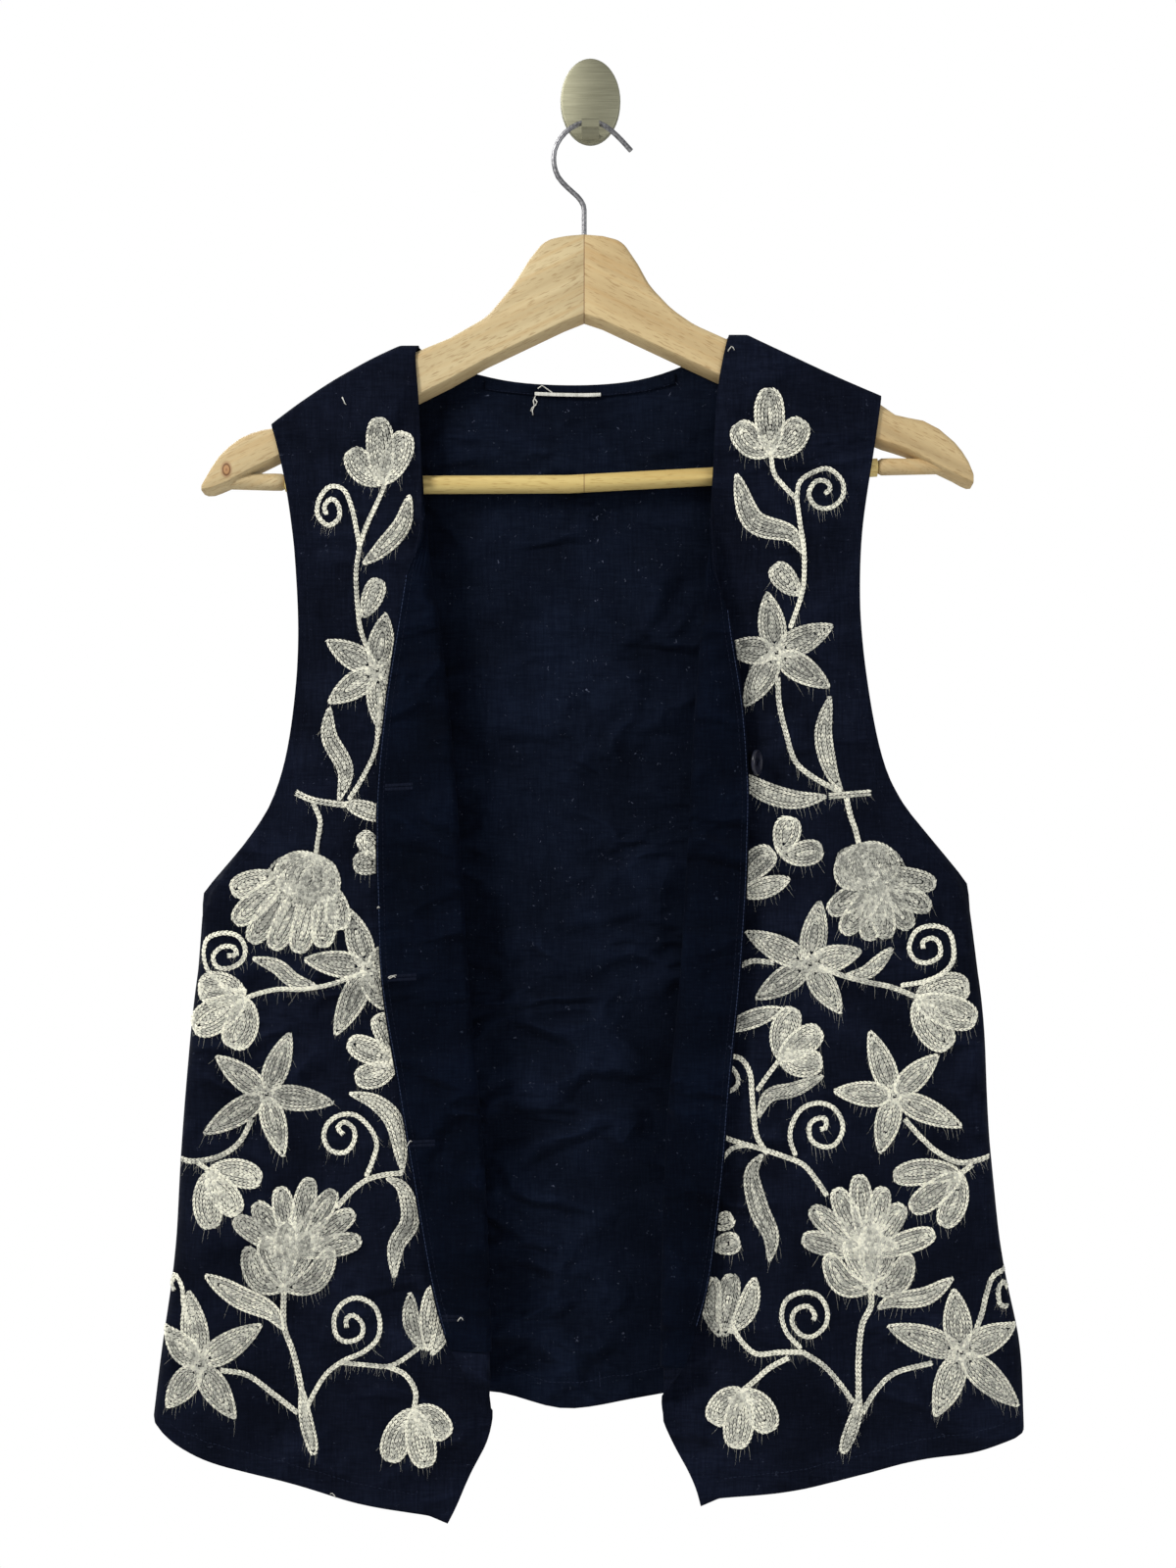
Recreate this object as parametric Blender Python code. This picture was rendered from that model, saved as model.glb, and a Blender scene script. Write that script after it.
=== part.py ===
# Embroidered navy cotton vest, open down the front, hung on a wooden hanger and an oval wall hook.
# The wall is the plane y = 0, the viewer stands at -Y, and z = 0 is the middle of the hook's plate.
# Lengths are in millimetres until new_object turns them into metres.

import math

import bmesh
import bpy
from mathutils import Vector

MM = 0.001

# Cloth
CLOTH = 1.2
FACING = 1.0
SEAM_GAP = 0.3
HEM_TURN = 15.0
HEM_EXTRA = 0.8

# The hanger: both arms, the cloth that goes over them, and the bar lie about the plane y = HANGER_Y
HANGER_Y = -20.0
ARM_THICK = 13.0
ARM_TOP_ROUND = 5.0
ARM_ROUND_STEPS = 4
ARM_BEVEL_DROP = 3.0
ARM_EASE = 1.0
ROUND_SIDES = 16
JOINT_X = -3.6
CROWN_Z = -82.0
BORE_TOP_Z = -60.0
WIRE_R = 1.5
WIRE_SIDES = 10
SHANK_DEPTH = 12.0
RIDGE_FLAT = 1.5
RIDGE_LIFT = 2.4
RIDGE_R = ARM_TOP_ROUND + SEAM_GAP + CLOTH / 2

# Where the panels hang
FRONT_TOP_Y = HANGER_Y - RIDGE_FLAT - RIDGE_R
FRONT_LOW_Y = FRONT_TOP_Y - 2.6
BACK_TOP_Y = HANGER_Y + RIDGE_FLAT + RIDGE_R
BACK_LOW_Y = -9.0
SIDE_SEAM_Y = -18.0
SIDE_WRAP = 9.0
WRAP_FADE = 60.0
RIGHT_UNDERARM_Z = -459.0
LEFT_UNDERARM_Z = -457.0
LEAN_TOP_Z = -200.0
FRONT_LEAN = 260.0
BACK_LEAN = 300.0
FOLD_GROWTH = 1.4

# Turned-back front edges: the strip rolls over at the fold, and the flap past it lies on the panel
EDGE_STRIP = 10.0
TURN_WIDTH = 16.0
LEAST_FLAP = 2.0
FLAP_SETTLE = 22.0
CORNER_DROP = 4.5
CORNER_START = 0.80
RIGHT_ROLL = 3.2
RIGHT_EDGE_GAP = 3.0
LEFT_ROLL = 3.9
LEFT_EDGE_GAP = 5.6

# Rows and columns of the panels
OVER_ROWS = 6
FRONT_ROWS = 28
FRONT_COLUMNS = 8
BACK_ROWS = 20
BACK_COLUMNS = 14
WRAP_ANGLES = (0, 35, 62, 90)
EDGE_COLUMNS = 2
EDGE_COLUMN = 4.5
STRIP_STEPS = 6
FLAP_STEPS = 4
HEM_CLOSE = 0.2
WIDTH_POINT = 10
FRONT_FLARE = 18.0
BACK_FLARE = 70.0

# Facings and the cut-off label; depths are below the neck edge
FACING_OFFSET = CLOTH / 2 + SEAM_GAP + FACING / 2
FACING_TOP_Z = -182.0
FACING_LOW_Z = -738.0
NECK_FACING_DEPTHS = (0.4, 3.6, 6.8)
NECK_FACING_COLUMNS = 14
LABEL_X = (-32.2, 6.0)
LABEL_DEPTHS = (5.0, 7.0)
LABEL_COLUMNS = 8
LABEL_THICK = 0.6

# Wall hook and buttons
PLATE_W = 35.0
PLATE_H = 50.0
PLATE_D = 5.0
PLATE_SIDES = 48
PRONG_W = 10.0
PRONG_STEPS = 2
PRONG_GAP = 0.4
SADDLE_X = 0.6
SADDLE_DIP = 26.0
BUTTON_R = 7.5
BUTTON_D = 2.3
BUTTON_RIM = 0.5
BUTTON_SIDES = 24
BUTTON_GAP = 0.45

# Outer edge of each front and of the back: z, x (shoulder tip, armhole, underarm, side seam, hem)
RIGHT_OUTER = [
    (-190.9, -183.2), (-212.0, -177.2), (-241.0, -172.2), (-270.0, -168.8), (-305.0, -166.9),
    (-326.0, -167.2), (-353.0, -169.4), (-378.0, -172.8), (-400.0, -177.8), (-420.5, -187.3),
    (-438.4, -203.0), (-459.0, -223.4), (-482.0, -222.6), (-518.0, -227.6), (-566.0, -232.1),
    (-610.0, -235.5), (-663.0, -238.3), (-690.0, -241.6), (-720.0, -246.1), (-763.0, -251.4),
]
LEFT_OUTER = [
    (-174.0, 167.0), (-197.6, 163.8), (-236.8, 157.6), (-262.0, 154.3), (-287.0, 153.7),
    (-316.0, 155.4), (-343.0, 158.8), (-367.0, 162.7), (-396.4, 170.0), (-415.0, 181.2),
    (-432.0, 197.4), (-457.0, 217.6), (-468.0, 217.2), (-502.0, 222.4), (-534.0, 226.4),
    (-562.0, 227.6), (-589.0, 228.4), (-630.0, 232.1), (-671.0, 236.6), (-698.0, 242.6),
    (-725.0, 247.6), (-771.0, 249.5),
]
# Fold of each front edge: z, x
RIGHT_FOLD = [
    (-146.4, -98.6), (-155.0, -101.0), (-175.0, -98.3), (-219.0, -96.6), (-264.0, -92.1),
    (-309.0, -85.4), (-353.0, -80.4), (-398.0, -76.4), (-432.0, -74.2), (-461.0, -72.0),
    (-510.0, -69.2), (-566.0, -64.1), (-622.0, -59.6), (-678.0, -57.4), (-734.0, -55.7),
    (-762.0, -55.2), (-771.0, -57.4), (-789.0, -68.6), (-807.0, -76.4), (-821.0, -84.3),
]
LEFT_FOLD = [
    (-140.2, 79.5), (-162.0, 73.0), (-191.5, 71.4), (-219.0, 70.3), (-264.0, 67.5),
    (-308.5, 63.0), (-353.0, 59.1), (-398.0, 56.8), (-432.0, 55.2), (-461.0, 53.5),
    (-510.0, 50.7), (-566.0, 45.1), (-622.0, 41.7), (-678.0, 40.0), (-734.0, 39.5),
    (-762.0, 41.5), (-767.0, 43.4), (-785.0, 54.6), (-796.0, 60.3), (-811.0, 64.1),
]
# Width of the part that is turned back: z, width
RIGHT_FLAP = [
    (-146.0, 0.0), (-180.0, 0.0), (-219.0, 3.4), (-264.0, 11.2), (-309.0, 25.2),
    (-353.0, 36.9), (-398.0, 45.4), (-432.0, 48.2), (-461.0, 49.8), (-510.0, 50.4),
    (-566.0, 46.5), (-622.0, 42.0), (-678.0, 34.7), (-712.0, 27.5), (-734.0, 17.0),
    (-760.0, 2.0), (-790.0, 0.0),
]
LEFT_FLAP = [
    (-139.0, 0.0), (-185.0, 0.0), (-219.0, 1.7), (-264.0, 7.3), (-308.5, 17.4),
    (-353.0, 28.0), (-398.0, 33.6), (-432.0, 34.7), (-461.0, 35.3), (-510.0, 34.7),
    (-566.0, 34.7), (-622.0, 33.6), (-678.0, 28.4), (-706.0, 21.5), (-732.0, 13.4),
    (-760.0, 2.0), (-790.0, 0.0),
]
# Shoulder seams: x, z
RIGHT_SEAM = [(-183.2, -191.5), (-166.0, -180.0), (-144.0, -167.4), (-127.0, -159.4), (-98.6, -146.4)]
LEFT_SEAM = [(79.5, -140.2), (114.0, -153.2), (141.0, -164.6), (158.0, -171.6), (167.0, -175.2)]
# Hem of each front: share of the way from the side seam to the fold, z
RIGHT_HEM = [
    (0.0, -762.0), (0.05, -770.0), (0.12, -782.0), (0.16, -783.5), (0.32, -791.0), (0.46, -797.0),
    (0.59, -803.0), (0.71, -808.0), (0.83, -811.5), (0.93, -814.5), (1.0, -816.5),
]
LEFT_HEM = [
    (0.0, -769.0), (0.05, -773.0), (0.145, -779.0), (0.33, -783.0), (0.45, -789.5), (0.57, -794.6),
    (0.75, -801.5), (0.90, -804.5), (1.0, -806.5),
]
BACK_HEM = [
    (0.0, -763.0), (0.1, -765.0), (0.25, -762.0), (0.38, -746.0), (0.45, -752.0), (0.52, -755.5),
    (0.58, -753.0), (0.66, -744.5), (0.8, -762.0), (0.9, -768.0), (1.0, -771.0),
]
# Neck edge of the back between the shoulder seams: x, z
BACK_NECK = [
    (-98.6, -146.4), (-91.0, -153.0), (-69.7, -161.5), (-46.0, -165.0), (-29.0, -166.6),
    (-3.0, -167.2), (21.0, -165.6), (43.0, -161.2), (62.0, -154.6), (72.0, -148.0), (79.5, -140.2),
]
# Stretch of the narrow neck facing that lies free between the arms
NECK_FACING_X = (-61.0, 49.0)
# Columns of the back where its neck edge leaves the shoulder seam and comes down behind the arm
NECK_COLUMNS = (-102.0, -98.6, -98.1, -97.4, -96.5, -95.4, -93.5, -91.0,
                72.0, 74.4, 76.3, 77.4, 78.3, 79.0, 79.5, 83.0)
# Soft folds that run down a panel: x and z at the top, x and z at the foot, half width, height
FRONT_FOLDS = [
    (-150.0, -250.0, -190.0, -800.0, 22.0, 2.2),
    (-120.0, -430.0, -128.0, -860.0, 17.0, 3.4),
    (-205.0, -540.0, -232.0, -860.0, 12.0, 3.6),
    (-168.0, -560.0, -178.0, -860.0, 12.0, -2.8),
    (-92.0, -470.0, -84.0, -860.0, 12.0, -1.8),
    (-108.0, -185.0, -142.0, -330.0, 9.0, 1.5),
    (128.0, -260.0, 168.0, -800.0, 22.0, 2.2),
    (96.0, -430.0, 112.0, -860.0, 16.0, 3.2),
    (188.0, -520.0, 222.0, -860.0, 13.0, 3.8),
    (150.0, -560.0, 158.0, -860.0, 12.0, -2.8),
    (66.0, -470.0, 66.0, -860.0, 11.0, -1.6),
    (92.0, -185.0, 120.0, -320.0, 9.0, 1.4),
]
BACK_FOLDS = [
    (-150.0, -260.0, -176.0, -820.0, 26.0, 2.4),
    (-62.0, -250.0, -30.0, -820.0, 20.0, -2.0),
    (34.0, -300.0, 16.0, -820.0, 17.0, 2.2),
    (-20.0, -420.0, 62.0, -700.0, 12.0, -1.4),
    (130.0, -280.0, 160.0, -820.0, 26.0, 2.2),
    (-110.0, -520.0, -112.0, -820.0, 14.0, -2.6),
    (92.0, -520.0, 96.0, -820.0, 14.0, -2.4),
]
# Hanger arms: x, z of the top edge, z of the front lower edge
RIGHT_ARM = [
    (-3.75, -82.0, -129.0), (-15.4, -82.9, -133.7), (-26.6, -85.7, -139.0), (-35.0, -96.3, -143.0),
    (-44.5, -111.4, -147.6), (-59.6, -129.4, -154.7), (-80.4, -141.4, -166.3),
    (-101.0, -149.9, -176.6), (-144.0, -169.8, -193.6), (-166.0, -183.2, -203.6),
    (-180.0, -193.0, -210.5), (-188.4, -194.4, -214.7), (-194.6, -196.2, -217.7),
    (-201.0, -199.0, -221.2), (-207.0, -203.4, -224.6), (-212.6, -208.6, -227.0),
    (-217.0, -214.8, -228.6), (-220.7, -221.6, -229.4), (-223.0, -226.5, -229.8),
]
LEFT_ARM = [
    (-3.45, -82.0, -129.0), (7.0, -82.9, -132.5), (18.2, -85.7, -137.7), (27.2, -99.1, -142.0),
    (34.4, -112.0, -145.3), (47.3, -125.4, -151.4), (60.2, -134.2, -157.4), (77.0, -141.6, -165.3),
    (114.0, -156.0, -178.0), (141.0, -167.2, -190.5), (160.0, -175.2, -198.8),
    (168.3, -181.0, -202.0), (175.0, -185.6, -204.0), (182.3, -187.3, -206.5),
    (191.2, -189.0, -211.5), (200.2, -193.7, -216.2), (209.2, -201.4, -220.5),
    (213.6, -206.8, -223.0), (217.2, -212.6, -224.5), (219.6, -219.4, -225.5),
]
# Bar between the arms: x, z, radius; its thin ends are tenons
BAR = [
    (-189.0, -224.2, 3.0), (-175.7, -224.4, 3.0), (-175.5, -224.6, 5.2), (-140.0, -226.0, 5.3),
    (-96.6, -226.5, 5.3), (-51.8, -226.2, 5.3), (-12.6, -225.4, 5.3), (26.6, -223.8, 5.3),
    (70.3, -221.3, 5.3), (120.0, -218.2, 5.3), (165.0, -215.8, 5.3), (165.4, -215.6, 3.0),
    (178.0, -215.3, 3.0),
]
# Round stub below each arm's tip, which holds the bar: x, z, radius
RIGHT_STUB = [(-215.0, -224.0, 4.2), (-205.0, -224.0, 4.6), (-182.0, -224.2, 5.0), (-177.6, -224.3, 4.9),
              (-175.9, -224.4, 4.0)]
LEFT_STUB = [(165.7, -215.6, 4.0), (167.4, -215.5, 4.9), (172.0, -215.4, 5.0), (195.0, -215.3, 4.6),
             (208.0, -215.3, 4.2)]
# Bores for the bar's tenons: x, z, radius
RIGHT_BORE = [(-190.0, -224.2, 3.3), (-170.0, -224.4, 3.3)]
LEFT_BORE = [(160.0, -215.8, 3.3), (179.0, -215.3, 3.3)]
# Wire hook's centre line above the crown: x, z
HOOK_LINE = [
    (-3.6, -70.0), (-4.0, -65.0), (-7.4, -59.8), (-13.4, -54.4), (-18.6, -48.4), (-21.0, -41.0),
    (-20.6, -33.0), (-17.2, -26.0), (-11.2, -20.2), (-3.2, -16.9), (5.0, -17.4), (11.8, -21.6),
    (18.0, -27.4), (23.4, -33.4),
]
HOOK_TOP = 9
# Rounded rim of the wall plate: y, inset
PLATE_RIM = [(0.0, 0.0), (-3.4, 0.0), (-4.5, 0.5), (-5.0, 1.6)]
# Side view of the prong, with its upper face at the height of the saddle: y, z above the saddle
PRONG_TOP = [(-3.0, 0.0), (-24.2, 0.0)]
PRONG_LIP = [(-25.2, 2.0), (-27.2, 2.0), (-28.0, 1.0), (-27.6, -2.8), (-26.2, -3.6), (-3.0, -4.0)]
# Buttons on the left front's edge: z, x past the flap's free edge, turn about the upright
BUTTONS = [(-385.8, 4.6, 66.0), (-489.0, -12.0, 0.0), (-592.5, -12.0, 0.0), (-696.5, -7.0, 0.0)]

NAVY = (0.010, 0.013, 0.028, 1.0)
NAVY_INSIDE = (0.014, 0.019, 0.040, 1.0)
LABEL_WHITE = (0.80, 0.79, 0.74, 1.0)
BUTTON_NAVY = (0.016, 0.014, 0.030, 1.0)
BEECH = (0.62, 0.42, 0.22, 1.0)
WIRE_STEEL = (0.72, 0.71, 0.68, 1.0)
BRUSHED = (0.46, 0.45, 0.40, 1.0)


def clear_scene():
    for item in list(bpy.data.objects):
        bpy.data.objects.remove(item, do_unlink=True)


def smooth(value):
    value = min(1.0, max(0.0, value))
    return value * value * (3.0 - 2.0 * value)


def curve(table, at, column=1):
    """Reads a column of a table at a place between its rows, along a smooth curve."""
    keys = [row[0] for row in table]
    values = [row[column] for row in table]
    if keys[0] > keys[-1]:
        keys = [-key for key in keys]
        at = -at
    if at <= keys[0]:
        return values[0]
    if at >= keys[-1]:
        return values[-1]
    i = max(n for n in range(len(keys) - 1) if keys[n] <= at)
    slopes = [(values[n + 1] - values[n]) / (keys[n + 1] - keys[n]) for n in range(len(keys) - 1)]

    def tangent(n):
        if n == 0:
            return slopes[0]
        if n == len(keys) - 1:
            return slopes[-1]
        before, after = slopes[n - 1], slopes[n]
        if before * after <= 0.0:
            return 0.0
        return 2.0 * before * after / (before + after)

    step = keys[i + 1] - keys[i]
    t = (at - keys[i]) / step
    return ((2 * t ** 3 - 3 * t ** 2 + 1) * values[i] + (t ** 3 - 2 * t ** 2 + t) * step * tangent(i)
            + (3 * t ** 2 - 2 * t ** 3) * values[i + 1] + (t ** 3 - t ** 2) * step * tangent(i + 1))


def material(name, colour, roughness, metallic=0.0):
    made = bpy.data.materials.new(name)
    made.use_nodes = True
    shader = made.node_tree.nodes["Principled BSDF"]
    shader.inputs["Base Color"].default_value = colour
    shader.inputs["Roughness"].default_value = roughness
    shader.inputs["Metallic"].default_value = metallic
    return made


def new_object(name, bm, finish):
    """Makes one named solid from a bmesh in millimetres."""
    for vert in bm.verts:
        vert.co *= MM
    bm.normal_update()
    bmesh.ops.recalc_face_normals(bm, faces=bm.faces)
    mesh = bpy.data.meshes.new(name)
    bm.to_mesh(mesh)
    bm.free()
    mesh.shade_smooth()
    mesh.set_sharp_from_angle(angle=math.radians(50))
    made = bpy.data.objects.new(name, mesh)
    bpy.context.scene.collection.objects.link(made)
    made.data.materials.append(finish)
    return made


def fold_height(folds, x, z):
    """Height of the soft folds at a place on a panel, growing down each fold."""
    height = 0.0
    for x_top, z_top, x_foot, z_foot, width, rise in folds:
        along = (z_top - z) / (z_top - z_foot)
        if along <= 0.0:
            continue
        middle = x_top + (x_foot - x_top) * along
        height += rise * smooth(along * FOLD_GROWTH) * math.exp(-((x - middle) / width) ** 2)
    return height


def front_y(x, z):
    lean = smooth((LEAN_TOP_Z - z) / FRONT_LEAN)
    return FRONT_TOP_Y + (FRONT_LOW_Y - FRONT_TOP_Y) * lean - fold_height(FRONT_FOLDS, x, z)


def back_y(x, z):
    lean = smooth((LEAN_TOP_Z - z) / BACK_LEAN)
    return BACK_TOP_Y + (BACK_LOW_Y - BACK_TOP_Y) * lean + fold_height(BACK_FOLDS, x, z)


def over_the_arm(distance, side):
    """Place on the cloth's way over the arm: y, and the drop below the seam."""
    half_turn = RIDGE_R * math.pi / 2
    if distance <= RIDGE_FLAT:
        return HANGER_Y + side * distance, 0.0
    if distance <= RIDGE_FLAT + half_turn:
        angle = (distance - RIDGE_FLAT) / RIDGE_R
        return (HANGER_Y + side * (RIDGE_FLAT + RIDGE_R * math.sin(angle)),
                RIDGE_R * (1.0 - math.cos(angle)))
    return None, RIDGE_R + distance - RIDGE_FLAT - half_turn


def way_over_the_arm(drop):
    """Distance along the cloth's way over the arm at which it has dropped by so much."""
    if drop <= 0.0:
        return 0.0
    if drop <= RIDGE_R:
        return RIDGE_FLAT + RIDGE_R * math.acos(1.0 - drop / RIDGE_R)
    return RIDGE_FLAT + RIDGE_R * math.pi / 2 + drop - RIDGE_R


def panel_rows(count):
    """Rows of a panel: distances over the arm for OVER_ROWS, then shares of the way to the hem."""
    turn = RIDGE_R * math.pi / 2
    steps = OVER_ROWS - 2
    over = [SEAM_GAP / 2, RIDGE_FLAT] + [RIDGE_FLAT + turn * n / steps for n in range(1, steps + 1)]
    return over + [n / count for n in range(1, count + 1)]


def side_wrap(x, z, outer, side, plane_y, underarm_z):
    """Brings the edge of a panel round from its plane to the side seam."""
    inset = abs(outer - x)
    amount = smooth((underarm_z + WRAP_FADE - z) / WRAP_FADE)
    seam_y = SIDE_SEAM_Y + side * SEAM_GAP / 2
    if inset >= SIDE_WRAP or amount == 0.0:
        return plane_y
    share = 1.0 - inset / SIDE_WRAP
    round_off = 1.0 - math.sqrt(max(0.0, 1.0 - share * share))
    return plane_y + (seam_y - plane_y) * round_off * amount


def wrap_shares(width):
    """Shares of a width at which the columns of the side's round stand."""
    return [SIDE_WRAP * (1.0 - math.cos(math.radians(angle))) / width for angle in WRAP_ANGLES]


def column_shares(width, count, edge_columns):
    """Shares from the outer edge to the fold: the side's round, an even field, then a fine edge."""
    wrap = wrap_shares(width)
    edge = [1.0 - EDGE_COLUMN * n / width for n in range(edge_columns, -1, -1)]
    field = [wrap[-1] + (edge[0] - wrap[-1]) * n / count for n in range(1, count)]
    return wrap + field + edge


class FrontShape:
    """One front, from the side seam to the turned-back front edge."""

    def __init__(self, sign, outer, fold, flap, seam, hem, roll, edge_gap, underarm_z):
        self.sign = sign
        self.outer = outer
        self.fold = fold
        self.flap = flap
        self.seam = seam
        self.hem = hem
        self.roll = roll
        self.edge_gap = edge_gap
        self.underarm_z = underarm_z

    def edge_turn(self, z):
        """Turn of the edge strip and the length of cloth past it, at a height."""
        width = curve(self.flap, z)
        turned = smooth((width - 0.5) / TURN_WIDTH)
        flat = width - self.roll - FACING_OFFSET - FACING / 2
        length = 0.5 * (flat + math.hypot(flat, 2.0 * LEAST_FLAP))
        return math.pi * turned, length, turned

    def grid(self, rows_down, panel_columns):
        tip_x, neck_x = self.seam[0][0], self.seam[-1][0]
        if self.sign > 0:
            tip_x, neck_x = neck_x, tip_x
        width = abs(self.outer[WIDTH_POINT][1] - neck_x) + FRONT_FLARE
        shares = column_shares(width, panel_columns, EDGE_COLUMNS)
        rows = panel_rows(rows_down)
        grid = []
        for index, row in enumerate(rows):
            line = []
            for share in shares:
                line.append(self.panel_point(share, index, row, tip_x, neck_x))
            drop = 0.0
            if index >= OVER_ROWS:
                drop = CORNER_DROP * smooth((row - CORNER_START) / (1.0 - CORNER_START))
            self.add_strip(line, drop)
            grid.append(line)
        return grid

    def panel_point(self, share, index, row, tip_x, neck_x):
        top_x = tip_x + (neck_x - tip_x) * share
        top_z = curve(self.seam, top_x)
        if index < OVER_ROWS:
            y, drop = over_the_arm(row, -1)
            z = top_z - drop
        else:
            y = None
            start = top_z - RIDGE_R
            length = start - curve(self.hem, share)
            z = start - length * row_spacing(row)
        outer_x = curve(self.outer, z)
        fold_x = curve(self.fold, z)
        turn, length, turned = self.edge_turn(z)
        reach = self.edge_reach(turn, length, turned)
        x = outer_x + (fold_x + self.sign * reach - outer_x) * share
        if y is None:
            y = front_y(x, z)
            y = side_wrap(x, z, outer_x, -1, y, self.underarm_z)
        elif index == OVER_ROWS - 1:
            y = FRONT_TOP_Y
        return Vector((x, y, z))

    def edge_reach(self, turn, length, turned):
        """How far the strip past the last panel column reaches towards the opening."""
        if turn < 1e-6:
            return EDGE_STRIP + length
        radius = EDGE_STRIP / turn * (self.roll * math.pi / EDGE_STRIP) ** turned
        if turn < math.pi / 2:
            return radius * math.sin(turn) + length * math.cos(turn) + turned * FACING_OFFSET
        return radius + turned * (FACING_OFFSET + FACING / 2)

    def add_strip(self, line, drop):
        """Adds the rolled edge and the flap that lies back on the panel; drop lowers its corner."""
        start = line[-1].copy()
        turn, length, turned = self.edge_turn(start.z)
        turn = max(turn, 1e-4)
        ahead = -self.sign
        radius = EDGE_STRIP / turn * (self.roll * math.pi / EDGE_STRIP) ** turned
        slope = drop / (EDGE_STRIP + length)
        for n in range(1, STRIP_STEPS + 1):
            share = n / STRIP_STEPS
            line.append(start + Vector((ahead * radius * math.sin(turn * share),
                                        -radius * (1.0 - math.cos(turn * share)),
                                        -slope * EDGE_STRIP * share)))
        end = line[-1].copy()
        base = front_y(end.x, end.z)
        narrow = (2.0 * self.roll - self.edge_gap) * turned * min(1.0, length / FLAP_SETTLE)
        for n in range(1, FLAP_STEPS + 1):
            share = n / FLAP_STEPS
            x = end.x + ahead * length * share * math.cos(turn)
            z = end.z - slope * length * share
            y = end.y - length * share * math.sin(turn)
            y += (front_y(x, z) - base) * turned + narrow * smooth(share)
            line.append(Vector((x, y, z)))


def row_spacing(row):
    """Rows down a panel that draw closer towards the hem."""
    return row + HEM_CLOSE * math.sin(math.pi * row) * row


def grid_normals(grid, sign, seam_columns, underarm_z):
    """Normals of a grid of points, pointing to the viewer's side; square to the seams at its edges."""
    normals = []
    last_row, last_col = len(grid) - 1, len(grid[0]) - 1
    for i, line in enumerate(grid):
        out = []
        for j in range(len(line)):
            down = grid[min(i + 1, last_row)][j] - grid[max(i - 1, 0)][j]
            across = grid[i][min(j + 1, last_col)] - grid[i][max(j - 1, 0)]
            normal = down.cross(across).normalized() * sign
            if i == 0 or (j in seam_columns and grid[i][j].z < underarm_z + 4.0):
                normal.y = 0.0
            out.append(normal.normalized())
        normals.append(out)
    return normals


def shell(grid, normals, outside, inside):
    """Closed wall about a grid; outside and inside are tables of distances along the normals."""
    bm = bmesh.new()
    rows, cols = len(grid), len(grid[0])
    skins = []
    for part, distance in ((1, outside), (-1, inside)):
        skins.append([[bm.verts.new(grid[i][j] + normals[i][j] * part * distance(i, j))
                       for j in range(cols)] for i in range(rows)])
    top, low = skins
    for i in range(rows - 1):
        for j in range(cols - 1):
            for a, b, c in ((i, j), (i + 1, j), (i + 1, j + 1)), ((i, j), (i + 1, j + 1), (i, j + 1)):
                bm.faces.new([top[m][n] for m, n in (a, b, c)])
                bm.faces.new([low[m][n] for m, n in (c, b, a)])
    ring = [(0, j) for j in range(cols)] + [(i, cols - 1) for i in range(1, rows)]
    ring += [(rows - 1, j) for j in range(cols - 2, -1, -1)] + [(i, 0) for i in range(rows - 2, 0, -1)]
    for (a, b), (c, d) in zip(ring, ring[1:] + ring[:1]):
        bm.faces.new((top[a][b], top[c][d], low[c][d], low[a][b]))
    bmesh.ops.triangulate(bm, faces=bm.faces)
    return bm


def hem_wall(grid):
    """Inner distance of a panel's wall, thicker where the hem is turned up inside."""
    def distance(i, j):
        above = (grid[i][j] - grid[-1][j]).length
        return CLOTH / 2 + (HEM_EXTRA if above < HEM_TURN else 0.0)
    return distance


def make_front(name, facing_name, shape, navy, inside):
    """A front panel, and the facing made from its edge points, moved out."""
    grid = shape.grid(FRONT_ROWS, FRONT_COLUMNS)
    normals = grid_normals(grid, -shape.sign, (0,), shape.underarm_z)
    new_object(name, shell(grid, normals, lambda i, j: CLOTH / 2, lambda i, j: CLOTH / 2), navy)
    first = len(grid[0]) - (EDGE_COLUMNS + 1 + STRIP_STEPS + FLAP_STEPS)
    rows = [i for i in range(len(grid)) if FACING_LOW_Z < grid[i][-1].z < FACING_TOP_Z]
    strip, strip_normals = [], []
    for i in rows:
        line = grid[i][first:]
        outward = [-normal for normal in normals[i][first:]]
        strip.append([point + way * FACING_OFFSET for point, way in zip(line, outward)])
        strip_normals.append(outward)
    half = FACING / 2
    new_object(facing_name, shell(strip, strip_normals, lambda i, j: half, lambda i, j: half), inside)
    return grid


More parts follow.
